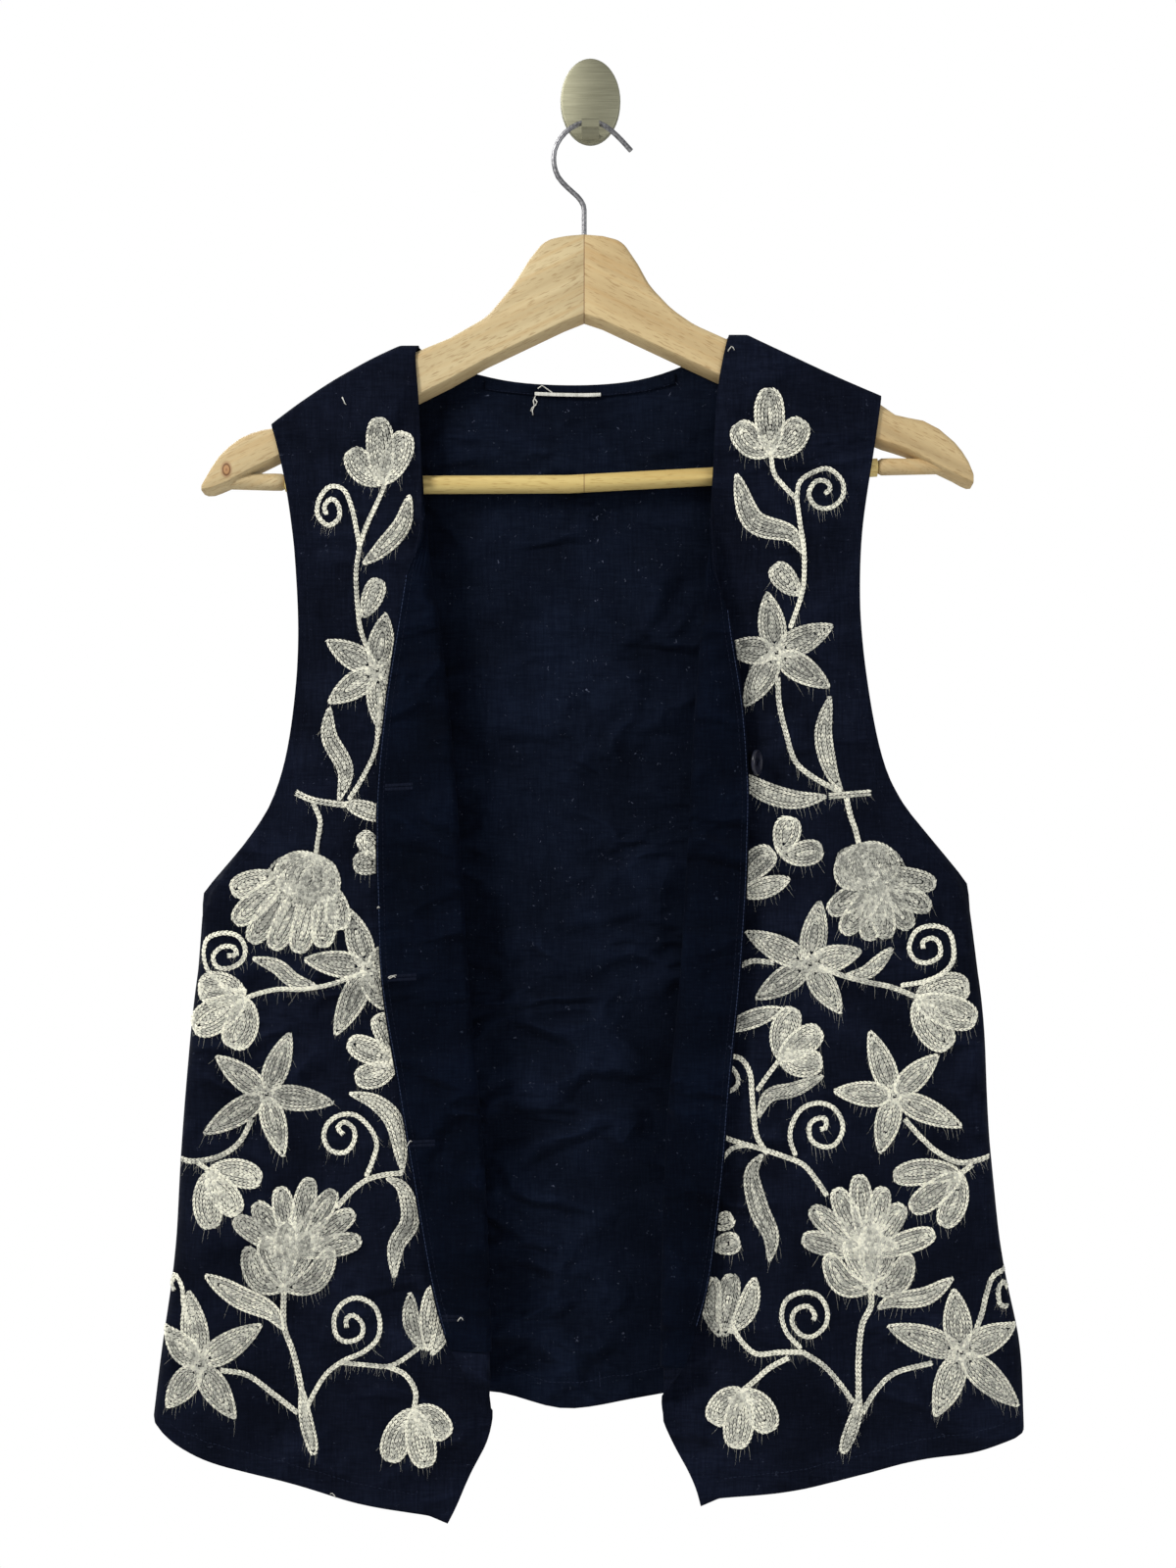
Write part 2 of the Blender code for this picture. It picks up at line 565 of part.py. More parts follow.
def back_grid(rows_down, columns):
    """The back, from one side seam to the other."""
    left_tip, right_tip = LEFT_SEAM[-1][0], RIGHT_SEAM[0][0]
    width = left_tip - right_tip
    wrap = wrap_shares(width + BACK_FLARE)
    neck = [(x - right_tip) / width for x in NECK_COLUMNS]
    field = [wrap[-1] + (1.0 - 2.0 * wrap[-1]) * n / columns for n in range(1, columns)]
    near = 0.5 / columns
    field = [share for share in field if all(abs(share - n) > near for n in neck)]
    shares = sorted(wrap + [1.0 - share for share in wrap] + field + neck)
    rows = panel_rows(rows_down)
    grid = []
    for index, row in enumerate(rows):
        line = []
        for share in shares:
            top_x = right_tip + width * share
            in_neck = RIGHT_SEAM[-1][0] < top_x < LEFT_SEAM[0][0]
            if in_neck:
                seam_z = curve(RIGHT_ARM if top_x < JOINT_X else LEFT_ARM, top_x) + RIDGE_LIFT
                first = way_over_the_arm(seam_z - curve(BACK_NECK, top_x))
            else:
                seam_z = curve(RIGHT_SEAM if top_x < 0 else LEFT_SEAM, top_x)
                first = 0.0
            y, drop = over_the_arm(first + rows[min(index, OVER_ROWS - 1)], 1)
            z = seam_z - drop
            if index >= OVER_ROWS:
                y = None
                z -= (z - curve(BACK_HEM, share)) * row_spacing(row)
            right_x = curve(RIGHT_OUTER, z)
            left_x = curve(LEFT_OUTER, z)
            x = right_x + (left_x - right_x) * share
            if y is None:
                y = back_y(x, z)
                y = side_wrap(x, z, right_x, 1, y, RIGHT_UNDERARM_Z)
                y = side_wrap(x, z, left_x, 1, y, LEFT_UNDERARM_Z)
            line.append(Vector((x, y, z)))
        grid.append(line)
    return grid


def make_back(navy, inside, white):
    """The back, the narrow facing along its neck edge, and the stub of a cut-off label."""
    grid = back_grid(BACK_ROWS, BACK_COLUMNS)
    normals = grid_normals(grid, 1, (0, len(grid[0]) - 1), RIGHT_UNDERARM_Z)
    new_object("back", shell(grid, normals, hem_wall(grid), lambda i, j: CLOTH / 2), navy)
    make_band("back_neck_facing", NECK_FACING_X, NECK_FACING_COLUMNS, NECK_FACING_DEPTHS, FACING,
              FACING_OFFSET, inside)
    label_offset = FACING_OFFSET + FACING / 2 + SEAM_GAP + LABEL_THICK / 2
    make_band("label_stub", LABEL_X, LABEL_COLUMNS, LABEL_DEPTHS, LABEL_THICK, label_offset, white)


def make_band(name, ends, columns, depths, thick, offset, finish):
    """A narrow band along the back's neck edge, made from the back's points, moved out."""
    band = []
    for depth in depths:
        line = []
        for n in range(columns + 1):
            x = ends[0] + (ends[1] - ends[0]) * n / columns
            z = curve(BACK_NECK, x) - depth
            line.append(Vector((x, back_y(x, z) - offset, z)))
        band.append(line)
    ways = [[Vector((0, -1, 0))] * (columns + 1) for depth in depths]
    new_object(name, shell(band, ways, lambda i, j: thick / 2, lambda i, j: thick / 2), finish)


def loft(sections):
    """Closed solid through rings of points."""
    bm = bmesh.new()
    rings = [[bm.verts.new(point) for point in section] for section in sections]
    for one, two in zip(rings, rings[1:]):
        for n in range(len(one)):
            m = (n + 1) % len(one)
            bm.faces.new((one[n], one[m], two[m], two[n]))
    bm.faces.new(rings[0])
    bm.faces.new(list(reversed(rings[-1])))
    bmesh.ops.recalc_face_normals(bm, faces=bm.faces)
    bmesh.ops.triangulate(bm, faces=bm.faces)
    return bm


def arm_section(x, top, low):
    """Cut through an arm: round upper edges, and an underside that slopes back and down."""
    half = ARM_THICK / 2
    round_r = min(ARM_TOP_ROUND, (top - low) * 0.45)
    points = []
    turns = [math.pi / 2 * step / ARM_ROUND_STEPS for step in range(ARM_ROUND_STEPS + 1)]
    for angle in turns:
        points.append((HANGER_Y - half + round_r * (1 - math.sin(angle)),
                       top - round_r + round_r * math.cos(angle)))
    drop = min(ARM_BEVEL_DROP, (top - low) * 0.3)
    points += [(HANGER_Y - half, low + ARM_EASE), (HANGER_Y - half + ARM_EASE, low),
               (HANGER_Y + half - ARM_EASE, low - drop), (HANGER_Y + half, low - drop + ARM_EASE)]
    for angle in turns:
        points.append((HANGER_Y + half - round_r * (1 - math.cos(angle)),
                       top - round_r + round_r * math.sin(angle)))
    return [Vector((x, y, z)) for y, z in points]


def turned(sides):
    """Cosine and sine of equal steps round a circle."""
    return [(math.cos(math.tau * n / sides), math.sin(math.tau * n / sides)) for n in range(sides)]


def round_section(x, z, radius):
    return [Vector((x, HANGER_Y + radius * c, z + radius * s)) for c, s in turned(ROUND_SIDES)]


def cutter(name, bm):
    for vert in bm.verts:
        vert.co *= MM
    mesh = bpy.data.meshes.new(name)
    bm.to_mesh(mesh)
    bm.free()
    made = bpy.data.objects.new(name, mesh)
    bpy.context.scene.collection.objects.link(made)
    made.hide_render = True
    made.display_type = "WIRE"
    return made


def boolean(target, tool, operation):
    step = target.modifiers.new(tool.name, "BOOLEAN")
    step.operation = operation
    step.solver = "EXACT"
    step.object = tool


def make_arm(name, table, stub, tenon, shank, beech):
    """One glued half of the hanger, with the stub that holds the bar."""
    arm = new_object(name, loft([arm_section(x, top, low) for x, top, low in table]), beech)
    boolean(arm, cutter(name + "_stub_form", loft([round_section(x, z, r) for x, z, r in stub])), "UNION")
    boolean(arm, cutter(name + "_tenon_bore", loft([round_section(x, z, r) for x, z, r in tenon])),
            "DIFFERENCE")
    boolean(arm, shank, "DIFFERENCE")


def make_hanger(beech, steel):
    shank_r = WIRE_R + SEAM_GAP
    rings = []
    for z in (BORE_TOP_Z, CROWN_Z - SHANK_DEPTH - SEAM_GAP):
        rings.append([Vector((JOINT_X + shank_r * c, HANGER_Y + shank_r * s, z))
                      for c, s in turned(ROUND_SIDES)])
    shank = cutter("shank_bore", loft(rings))
    make_arm("hanger_right_arm", RIGHT_ARM, RIGHT_STUB, RIGHT_BORE, shank, beech)
    make_arm("hanger_left_arm", LEFT_ARM, LEFT_STUB, LEFT_BORE, shank, beech)
    new_object("hanger_bar", loft([round_section(x, z, r) for x, z, r in BAR]), beech)
    make_hook(steel)


def make_hook(steel):
    """Bent wire hook with its shank in the crown."""
    line = [Vector((JOINT_X, HANGER_Y, CROWN_Z - SHANK_DEPTH)), Vector((JOINT_X, HANGER_Y, CROWN_Z))]
    knots = [Vector((x, HANGER_Y, z)) for x, z in HOOK_LINE]
    padded = [knots[0] * 2 - knots[1]] + knots + [knots[-1] * 2 - knots[-2]]
    line.append(knots[0])
    for n in range(1, len(padded) - 2):
        a, b, c, d = padded[n - 1:n + 3]
        for t in (0.5, 1.0):
            line.append(0.5 * ((2 * b) + (c - a) * t + (2 * a - 5 * b + 4 * c - d) * t * t
                               + (3 * b - a - 3 * c + d) * t ** 3))
    sections = []
    for n, point in enumerate(line):
        ahead = (line[min(n + 1, len(line) - 1)] - line[max(n - 1, 0)]).normalized()
        across = Vector((0, 1, 0))
        up = ahead.cross(across).normalized()
        sections.append([point + WIRE_R * (across * c + up * s) for c, s in turned(WIRE_SIDES)])
    new_object("hanger_hook", loft(sections), steel)


def make_wall_hook(brushed):
    """Oval plate with rounded rim, and a flat prong with a low lip at its end."""
    rings = []
    for y, inset in PLATE_RIM:
        rings.append([Vector(((PLATE_W / 2 - inset) * c, y, (PLATE_H / 2 - inset) * s))
                      for c, s in turned(PLATE_SIDES)])
    plate = new_object("wall_hook", loft(rings), brushed)
    saddle = HOOK_LINE[HOOK_TOP][1] - WIRE_R - PRONG_GAP
    sections = []
    for n in range(-PRONG_STEPS, PRONG_STEPS + 1):
        x = PRONG_W / 2 * n / PRONG_STEPS
        dip = (x - SADDLE_X) ** 2 / SADDLE_DIP
        section = [Vector((x, y, saddle + z - dip)) for y, z in PRONG_TOP]
        sections.append(section + [Vector((x, y, saddle + z)) for y, z in PRONG_LIP])
    boolean(plate, cutter("prong_form", loft(sections)), "UNION")


def make_buttons(shape, finish):
    """Four round buttons on the outer face of the left front's edge; the top one stands on edge."""
    for number, (z, past, turn) in enumerate(BUTTONS, start=1):
        edge_x = curve(shape.fold, z) + curve(shape.flap, z)
        x = edge_x + past
        angle = math.radians(turn)
        panel = min(front_y(x + dx, z + dz) for dx in (-BUTTON_R, 0, BUTTON_R)
                    for dz in (-BUTTON_R, 0, BUTTON_R)) - CLOTH / 2
        lowest = BUTTON_R * math.sin(angle) + BUTTON_D / 2 * math.cos(angle)
        y = panel - BUTTON_GAP - lowest
        bm = bmesh.new()
        bmesh.ops.create_cone(bm, cap_ends=True, segments=BUTTON_SIDES, radius1=BUTTON_R,
                              radius2=BUTTON_R, depth=BUTTON_D)
        rims = [edge for edge in bm.edges if abs(edge.verts[0].co.z - edge.verts[1].co.z) < 1e-6]
        bmesh.ops.bevel(bm, geom=rims, offset=BUTTON_RIM, segments=2, affect="EDGES", profile=0.5,
                        material=-1)
        bmesh.ops.triangulate(bm, faces=bm.faces)
        for vert in bm.verts:
            flat = Vector((vert.co.x, vert.co.z, vert.co.y))
            vert.co = Vector((x + flat.x * math.cos(angle) - flat.y * math.sin(angle),
                              y + flat.x * math.sin(angle) + flat.y * math.cos(angle), z + flat.z))
        new_object("button_%d" % number, bm, finish)


def make_all():
    clear_scene()
    navy = material("navy_cotton", NAVY, 0.9)
    inside = material("navy_cotton_inside", NAVY_INSIDE, 0.92)
    white = material("label_cotton", LABEL_WHITE, 0.85)
    beech = material("beech_wood", BEECH, 0.45)
    right = FrontShape(-1, RIGHT_OUTER, RIGHT_FOLD, RIGHT_FLAP, RIGHT_SEAM, RIGHT_HEM, RIGHT_ROLL,
                       RIGHT_EDGE_GAP, RIGHT_UNDERARM_Z)
    left = FrontShape(1, LEFT_OUTER, LEFT_FOLD, LEFT_FLAP, LEFT_SEAM, LEFT_HEM, LEFT_ROLL,
                      LEFT_EDGE_GAP, LEFT_UNDERARM_Z)
    make_front("right_front", "right_front_facing", right, navy, inside)
    make_front("left_front", "left_front_facing", left, navy, inside)
    make_back(navy, inside, white)
    make_buttons(left, material("button_navy", BUTTON_NAVY, 0.35))
    make_hanger(beech, material("hook_wire", WIRE_STEEL, 0.3, 1.0))
    make_wall_hook(material("brushed_steel", BRUSHED, 0.4, 1.0))


make_all()
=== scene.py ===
# Navy cotton vest with cream wool vines, hung open on a wooden hanger and an oval wall hook.
# The wall is the plane y = 0 and the viewer stands at -Y. Sizes are in metres, and in millimetres
# where a comment says so.

import math
import random

import bmesh
import bpy
import numpy as np
from mathutils import Matrix, Vector, noise
from mathutils.bvhtree import BVHTree


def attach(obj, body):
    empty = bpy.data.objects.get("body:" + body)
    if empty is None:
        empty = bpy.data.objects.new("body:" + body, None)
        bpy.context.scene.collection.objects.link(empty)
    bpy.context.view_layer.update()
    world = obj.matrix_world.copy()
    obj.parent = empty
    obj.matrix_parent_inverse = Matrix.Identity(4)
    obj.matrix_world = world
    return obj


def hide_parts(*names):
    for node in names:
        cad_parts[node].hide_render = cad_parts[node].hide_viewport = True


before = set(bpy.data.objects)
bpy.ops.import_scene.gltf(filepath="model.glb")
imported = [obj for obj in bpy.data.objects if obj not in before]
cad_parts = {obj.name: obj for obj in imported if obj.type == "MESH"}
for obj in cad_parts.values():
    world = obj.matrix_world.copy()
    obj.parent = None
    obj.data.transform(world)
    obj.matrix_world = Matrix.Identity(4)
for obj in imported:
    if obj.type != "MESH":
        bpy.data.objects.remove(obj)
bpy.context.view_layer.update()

# The view: a camera straight in front of the open fronts, a pale floor far below the hem, and soft
# studio light from all round with one large lamp from the upper left and a weaker one from the right.
VIEW_MIDDLE = Vector((-0.0014, -0.030, -0.398))
VIEW_HEIGHT = 0.896
VIEW_DISTANCE = 1.30
FLOOR_Z = -1.42
PAPER_LIGHT = 0.55

camera_data = bpy.data.cameras.new("camera")
camera_data.sensor_width = 36.0
camera_data.lens = 36.0 * VIEW_DISTANCE / VIEW_HEIGHT
camera = bpy.data.objects.new("camera", camera_data)
camera.location = VIEW_MIDDLE - Vector((0.0, VIEW_DISTANCE, 0.0))
camera.rotation_euler = (math.radians(90.0), 0.0, 0.0)
bpy.context.scene.collection.objects.link(camera)
bpy.context.scene.camera = camera

bpy.context.scene.view_settings.view_transform = "Standard"
surroundings = bpy.data.worlds.new("pale_studio")
surroundings.use_nodes = True
bpy.context.scene.world = surroundings


def soft_lamp(name, place, width, power, warmth):
    """A square lamp that points at the middle of the vest."""
    lamp_data = bpy.data.lights.new(name, "AREA")
    lamp_data.shape = "SQUARE"
    lamp_data.size = width
    lamp_data.energy = power
    lamp_data.color = warmth
    lamp = bpy.data.objects.new(name, lamp_data)
    lamp.location = place
    lamp.rotation_euler = (VIEW_MIDDLE - Vector(place)).to_track_quat("-Z", "Y").to_euler()
    bpy.context.scene.collection.objects.link(lamp)


soft_lamp("upper_left_lamp", (-1.25, -1.1, 0.75), 0.5, 36.0, (1.0, 0.98, 0.95))
soft_lamp("right_lamp", (1.3, -1.2, -0.1), 0.9, 9.0, (0.95, 0.97, 1.0))
soft_lamp("rear_lamp", (-0.9, 1.3, 0.6), 0.9, 22.0, (1.0, 1.0, 1.0))


def set_mesh(name, bm):
    """Puts a bmesh into the scene as an object whose faces are shaded smooth."""
    mesh = bpy.data.meshes.new(name)
    bm.to_mesh(mesh)
    bm.free()
    mesh.shade_smooth()
    piece = bpy.data.objects.new(name, mesh)
    bpy.context.scene.collection.objects.link(piece)
    return piece


def output_of(value):
    """A node stands for its first output, and anything else for itself."""
    return value.outputs[0] if isinstance(value, bpy.types.Node) else value


def node_maker(tree):
    """Adds nodes to a tree: add(kind, {input: value, socket or node}, attribute=value)."""
    def add(kind, inputs, **settings):
        node = tree.nodes.new("ShaderNode" + kind)
        for key, value in settings.items():
            setattr(node, key, value)
        for key, value in inputs.items():
            value = output_of(value)
            if isinstance(value, bpy.types.NodeSocket):
                tree.links.new(value, node.inputs[key])
            else:
                node.inputs[key].default_value = value
        return node
    return add


def new_material(name, roughness, metallic=0.0, specular=0.5):
    """A material, its shader, a helper that adds nodes to it, and the place on its object."""
    material = bpy.data.materials.new(name)
    material.use_nodes = True
    shader = material.node_tree.nodes["Principled BSDF"]
    for socket, value in (("Roughness", roughness), ("Metallic", metallic), ("Specular IOR Level", specular)):
        shader.inputs[socket].default_value = value
    add = node_maker(material.node_tree)
    return material, shader, add, add("TexCoord", {}).outputs["Object"]


def noise_over(add, place, scale, detail=2.0, distortion=0.0):
    """Noise from nought to one over a place."""
    return add("TexNoise", {"Vector": place, "Scale": scale, "Detail": detail, "Distortion": distortion})


def colour_steps(add, mask, steps):
    """A colour ramp: rows of place and colour."""
    ramp = add("ValToRGB", {"Fac": mask})
    while len(ramp.color_ramp.elements) < len(steps):
        ramp.color_ramp.elements.new(0.5)
    for element, (place, colour) in zip(ramp.color_ramp.elements, steps):
        element.position = place
        element.color = (*colour, 1.0)
    return ramp


def finish(shader, add, colour, reliefs=()):
    """Gives a shader its colour, and its relief from rows of height, strength and distance."""
    shader.id_data.links.new(output_of(colour), shader.inputs["Base Color"])
    normal = {}
    for height, strength, distance in reliefs:
        bump = add("Bump", {"Height": height, "Strength": strength, "Distance": distance, **normal})
        normal = {"Normal": bump}
    if normal:
        shader.id_data.links.new(bump.outputs[0], shader.inputs["Normal"])


# The studio's paper is white in the picture, and gives about half of the light
add = node_maker(surroundings.node_tree)
seen = add("LightPath", {}).outputs["Is Camera Ray"]
paper = add("MapRange", {"Value": seen, "To Min": PAPER_LIGHT})
backdrop = surroundings.node_tree.nodes["Background"]
backdrop.inputs["Color"].default_value = (1.0, 1.0, 1.0, 1.0)
surroundings.node_tree.links.new(paper.outputs[0], backdrop.inputs["Strength"])

floor_bm = bmesh.new()
bmesh.ops.create_grid(floor_bm, x_segments=1, y_segments=1, size=1.6,
                      matrix=Matrix.Translation((0.0, -0.4, FLOOR_Z)))
floor = set_mesh("floor", floor_bm)
pale_floor, shader, add, place = new_material("pale_floor", 0.8)
finish(shader, add, colour_steps(add, noise_over(add, place, 3.0),
                                 [(0.3, (0.80, 0.80, 0.79)), (0.7, (0.84, 0.84, 0.83))]))
floor.data.materials.append(pale_floor)


# The two fronts: navy plain-weave cotton, each cut with its front edge turned back outward, so that
# the facing inside shows. They are sewn to the back at the shoulders and sides and hang from the
# hanger's arms, with drag creases under the neck points and waves at the hem.
CLOTH_LEVELS = 2
SHARP_EDGE = math.radians(60.0)
CORNER_ANGLE = math.radians(152.0)
SURFACE_WAVE = 0.00030
THREADS_PER_METRE = 1500.0
CREASE_WIDTH = 1.5
CREASE_RISE = 2.0
CREASE_BOW = 0.12
SWELLS = ((38.0, 0.0, 1.0), (90.0, 0.3, 0.5))
SIDE_X = 0.252
SIDE_FREE = 0.012
SHOULDER_Z = -0.140
SHOULDER_FREE = 0.050
LEAST_FREE = 0.15
PUCKER_APART = 11.1
# Creases in millimetres: x and z of one end, x and z of the other, half width, height; a height
# below nought is a trough
FRONT_CREASES = [
    (-102, -158, -122, -215, 3.5, 1.6), (-108, -156, -140, -208, 4, 1.4), (-118, -168, -160, -232, 4, 1.2),
    (-100, -175, -108, -250, 3.5, 1.2), (-132, -172, -172, -222, 4, 1), (-172, -262, -150, -330, 5, 1),
    (-176, -400, -130, -446, 6, 1.3), (-196, -436, -150, -470, 6, 1.2), (-214, -470, -196, -560, 6, 1.4),
    (-228, -600, -214, -700, 6, 1.4), (-226, -742, -150, -768, 6, 1.2), (-150, -742, -108, -790, 7, 1.4),
    (-190, -770, -110, -786, 5, -1), (-80, -430, -112, -478, 4, 1.3), (-74, -502, -108, -544, 4.5, 1.4),
    (-76, -560, -106, -584, 4, 1.2), (-62, -586, -94, -640, 4.5, 1.4), (-66, -628, -92, -622, 3.5, 1),
    (-60, -660, -86, -706, 4.5, 1.3), (-84, -735, -66, -790, 6, 1.2), (86, -150, 108, -212, 3.5, 1.5),
    (92, -150, 128, -200, 4, 1.3), (104, -160, 150, -218, 4, 1.1), (80, -168, 86, -246, 3.5, 1.2),
    (160, -250, 140, -320, 5, 1), (166, -395, 120, -440, 6, 1.3), (190, -430, 140, -466, 6, 1.2),
    (206, -470, 192, -556, 6, 1.4), (222, -600, 208, -700, 6, 1.4), (224, -740, 140, -764, 6, 1.2),
    (140, -742, 100, -788, 7, 1.4), (70, -735, 56, -785, 6, 1.2), (58, -430, 88, -470, 4, 1.2),
    (52, -500, 82, -530, 4, 1.3), (50, -580, 74, -634, 4.5, 1.3), (46, -640, 70, -652, 3.5, 1),
    (44, -662, 64, -712, 4.5, 1.2),
]


def puckers(hem):
    """Short shallow creases along a hem where its stitches draw it in: hem is a list of x and z."""
    chance = random.Random(3)
    found = []
    for (x0, z0), (x1, z1) in zip(hem, hem[1:]):
        count = int((x1 - x0) / PUCKER_APART)
        for n in range(count):
            share = (n + chance.uniform(0.1, 0.9)) / count
            x, z = x0 + (x1 - x0) * share, z0 + (z1 - z0) * share
            slant = chance.uniform(-6.0, 6.0)
            found.append((x, z - 1.0, x + slant, z + chance.uniform(12.0, 24.0), chance.uniform(2.0, 4.0),
                          chance.choice((-1, 1)) * chance.uniform(0.2, 0.6)))
    return found


FRONT_CREASES += puckers([(-246, -765), (-190, -786), (-140, -802), (-88, -816)])
FRONT_CREASES += puckers([(70, -806), (150, -796), (200, -782), (244, -770)])


def crease_height(creases, x, z):
    """How far the cloth stands towards the viewer at each place, from soft ridges and troughs."""
    height = np.zeros(len(x))
    for row in creases:
        x0, z0, x1, z1, half_width, rise = np.array(row) * 0.001
        along = np.array((x1 - x0, z1 - z0))
        length = np.linalg.norm(along)
        along /= length
        t = ((x - x0) * along[0] + (z - z0) * along[1]) / length
        across = (x - x0) * along[1] - (z - z0) * along[0] + CREASE_BOW * length * (t - 0.5) ** 2
        ends = np.clip(1.15 - (2.0 * t - 1.0) ** 2, 0.0, 1.0) ** 1.5
        height += CREASE_RISE * rise * ends / (1.0 + (across / (CREASE_WIDTH * half_width)) ** 2) ** 1.5
    return height


def hung_cloth(node, name, creases, wave):
    """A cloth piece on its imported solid's form: joined up, rounded, then creased through both faces."""
    bm = bmesh.new()
    bm.from_mesh(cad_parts[node].data)
    bmesh.ops.remove_doubles(bm, verts=bm.verts, dist=1e-6)
    bmesh.ops.recalc_face_normals(bm, faces=bm.faces)
    bmesh.ops.join_triangles(bm, faces=bm.faces, angle_face_threshold=math.radians(35.0),
                             angle_shape_threshold=math.radians(55.0))
    crease = bm.edges.layers.float.new("crease_edge")
    corner = bm.verts.layers.float.new("crease_vert")
    for edge in bm.edges:
        if edge.calc_face_angle(0.0) > SHARP_EDGE:
            edge[crease] = 0.9
    for vert in bm.verts:
        ends = [edge.other_vert(vert).co - vert.co for edge in vert.link_edges if edge[crease] > 0]
        if len(ends) == 2 and ends[0].angle(ends[1], math.pi) < CORNER_ANGLE:
            vert[corner] = 0.9
    rough = set_mesh(name + "_rough", bm)
    rounding = rough.modifiers.new("rounding", "SUBSURF")
    rounding.levels = rounding.render_levels = CLOTH_LEVELS
    rounded = rough.evaluated_get(bpy.context.evaluated_depsgraph_get()).to_mesh()
    bm = bmesh.new()
    bm.from_mesh(rounded)
    bpy.data.objects.remove(rough)
    x = np.array([vert.co.x for vert in bm.verts])
    z = np.array([vert.co.z for vert in bm.verts])
    for vert, rise in zip(bm.verts, crease_height(creases, x, z)):
        swell = sum(share * noise.noise(Vector((vert.co.x, shift, vert.co.z)) * scale)
                    for scale, shift, share in SWELLS)
        vert.co.y -= (rise + wave * swell) * held_back(vert.co)
    return set_mesh(name, bm)


def held_back(place):
    """How freely the cloth may leave its form: less at the side seams and over the hanger."""
    side = min(1.0, max(0.0, (SIDE_X - abs(place.x)) / SIDE_FREE))
    shoulder = min(1.0, max(LEAST_FREE, (SHOULDER_Z - place.z) / SHOULDER_FREE))
    return side * shoulder


def shared_effect(name, inputs, outputs):
    """A node group that several materials place: the group, its helper that adds nodes, and its inputs."""
    group = bpy.data.node_groups.new(name, "ShaderNodeTree")
    for socket, kind in inputs:
        group.interface.new_socket(socket, in_out="INPUT", socket_type="NodeSocket" + kind)
    for socket in outputs:
        group.interface.new_socket(socket, in_out="OUTPUT", socket_type="NodeSocketFloat")
    return group, node_maker(group), group.nodes.new("NodeGroupInput").outputs


def put_out(group, values):
    """Joins nodes to a group's outputs."""
    outputs = group.nodes.new("NodeGroupOutput").inputs
    for socket, node in values.items():
        group.links.new(output_of(node), outputs[socket])


weave_group, add, weave_in = shared_effect(
    "plain_weave", [("Place", "Vector"), ("Threads per Metre", "Float")],
    ("Threads", "Slubs", "Lint", "Crumple"))
place = weave_in["Place"]
split = add("SeparateXYZ", {"Vector": place}).outputs


def maths(add, operation, *values):
    """One step of arithmetic on up to three values."""
    return add("Math", dict(enumerate(values)), operation=operation)


def ranged(add, value, start, end, low=0.0, high=1.0, **settings):
    """Runs from low to high while a value runs from start to end."""
    limits = {"From Min": start, "From Max": end, "To Min": low, "To Max": high}
    return add("MapRange", {"Value": value, **limits}, **settings)


def drawn_noise(add, place, scale, detail, lean=0.0, distortion=0.0):
    """Noise with a scale of its own along each axis, which leans in x and z by some degrees."""
    drawn = add("Mapping", {"Vector": place, "Scale": scale, "Rotation": (0.0, math.radians(lean), 0.0)})
    return noise_over(add, drawn, 1.0, detail, distortion)


def thread_wave(axis):
    """Rounded threads side by side along one axis."""
    turns = maths(add, "MULTIPLY", split[axis], weave_in["Threads per Metre"])
    return maths(add, "SINE", maths(add, "MULTIPLY", turns, math.tau))


over_under = maths(add, "MULTIPLY", thread_wave("X"), thread_wave("Z"))
weft = drawn_noise(add, place, (120.0, 120.0, 1100.0), 2.0)
warp = drawn_noise(add, place, (1100.0, 120.0, 90.0), 2.0)
lint_spots = noise_over(add, place, 420.0, 3.0, 1.5)
# Wrinkles too small for the mesh: ridges where noise crosses its middle, here and there, and
# stronger lower down. The cotton bumps its face with them and also paints them lighter as a
# painted highlight.
rumpled = drawn_noise(add, place, (13.0, 11.0, 24.0), 2.5, -24.0, 0.35)
off_middle = maths(add, "ABSOLUTE", maths(add, "SUBTRACT", rumpled, 0.5))
ridge = ranged(add, off_middle, 0.0, 0.13, 1.0, 0.0, interpolation_type="SMOOTHSTEP")
creased_here = ranged(add, noise_over(add, place, 15.0, 1.0), 0.34, 0.54)
low_down = ranged(add, split["Z"], -0.20, -0.72, 0.45, 1.0)
put_out(weave_group, {
    "Threads": maths(add, "MULTIPLY_ADD", over_under, 0.5, 0.5),
    "Slubs": maths(add, "MULTIPLY", weft, warp),
    "Lint": ranged(add, lint_spots, 0.695, 0.76),
    "Crumple": maths(add, "MULTIPLY", maths(add, "MULTIPLY", ridge, creased_here), low_down)})


def weave_at(add, place, threads):
    """The weave's heights and masks at a place, for so many threads in a metre."""
    return add("Group", {"Place": place, "Threads per Metre": threads}, node_tree=weave_group).outputs


def blend(add, factor, under, over):
    """A colour laid over another one by a factor."""
    return add("Mix", {"Factor": factor, "A": under, "B": over}, data_type="RGBA").outputs["Result"]


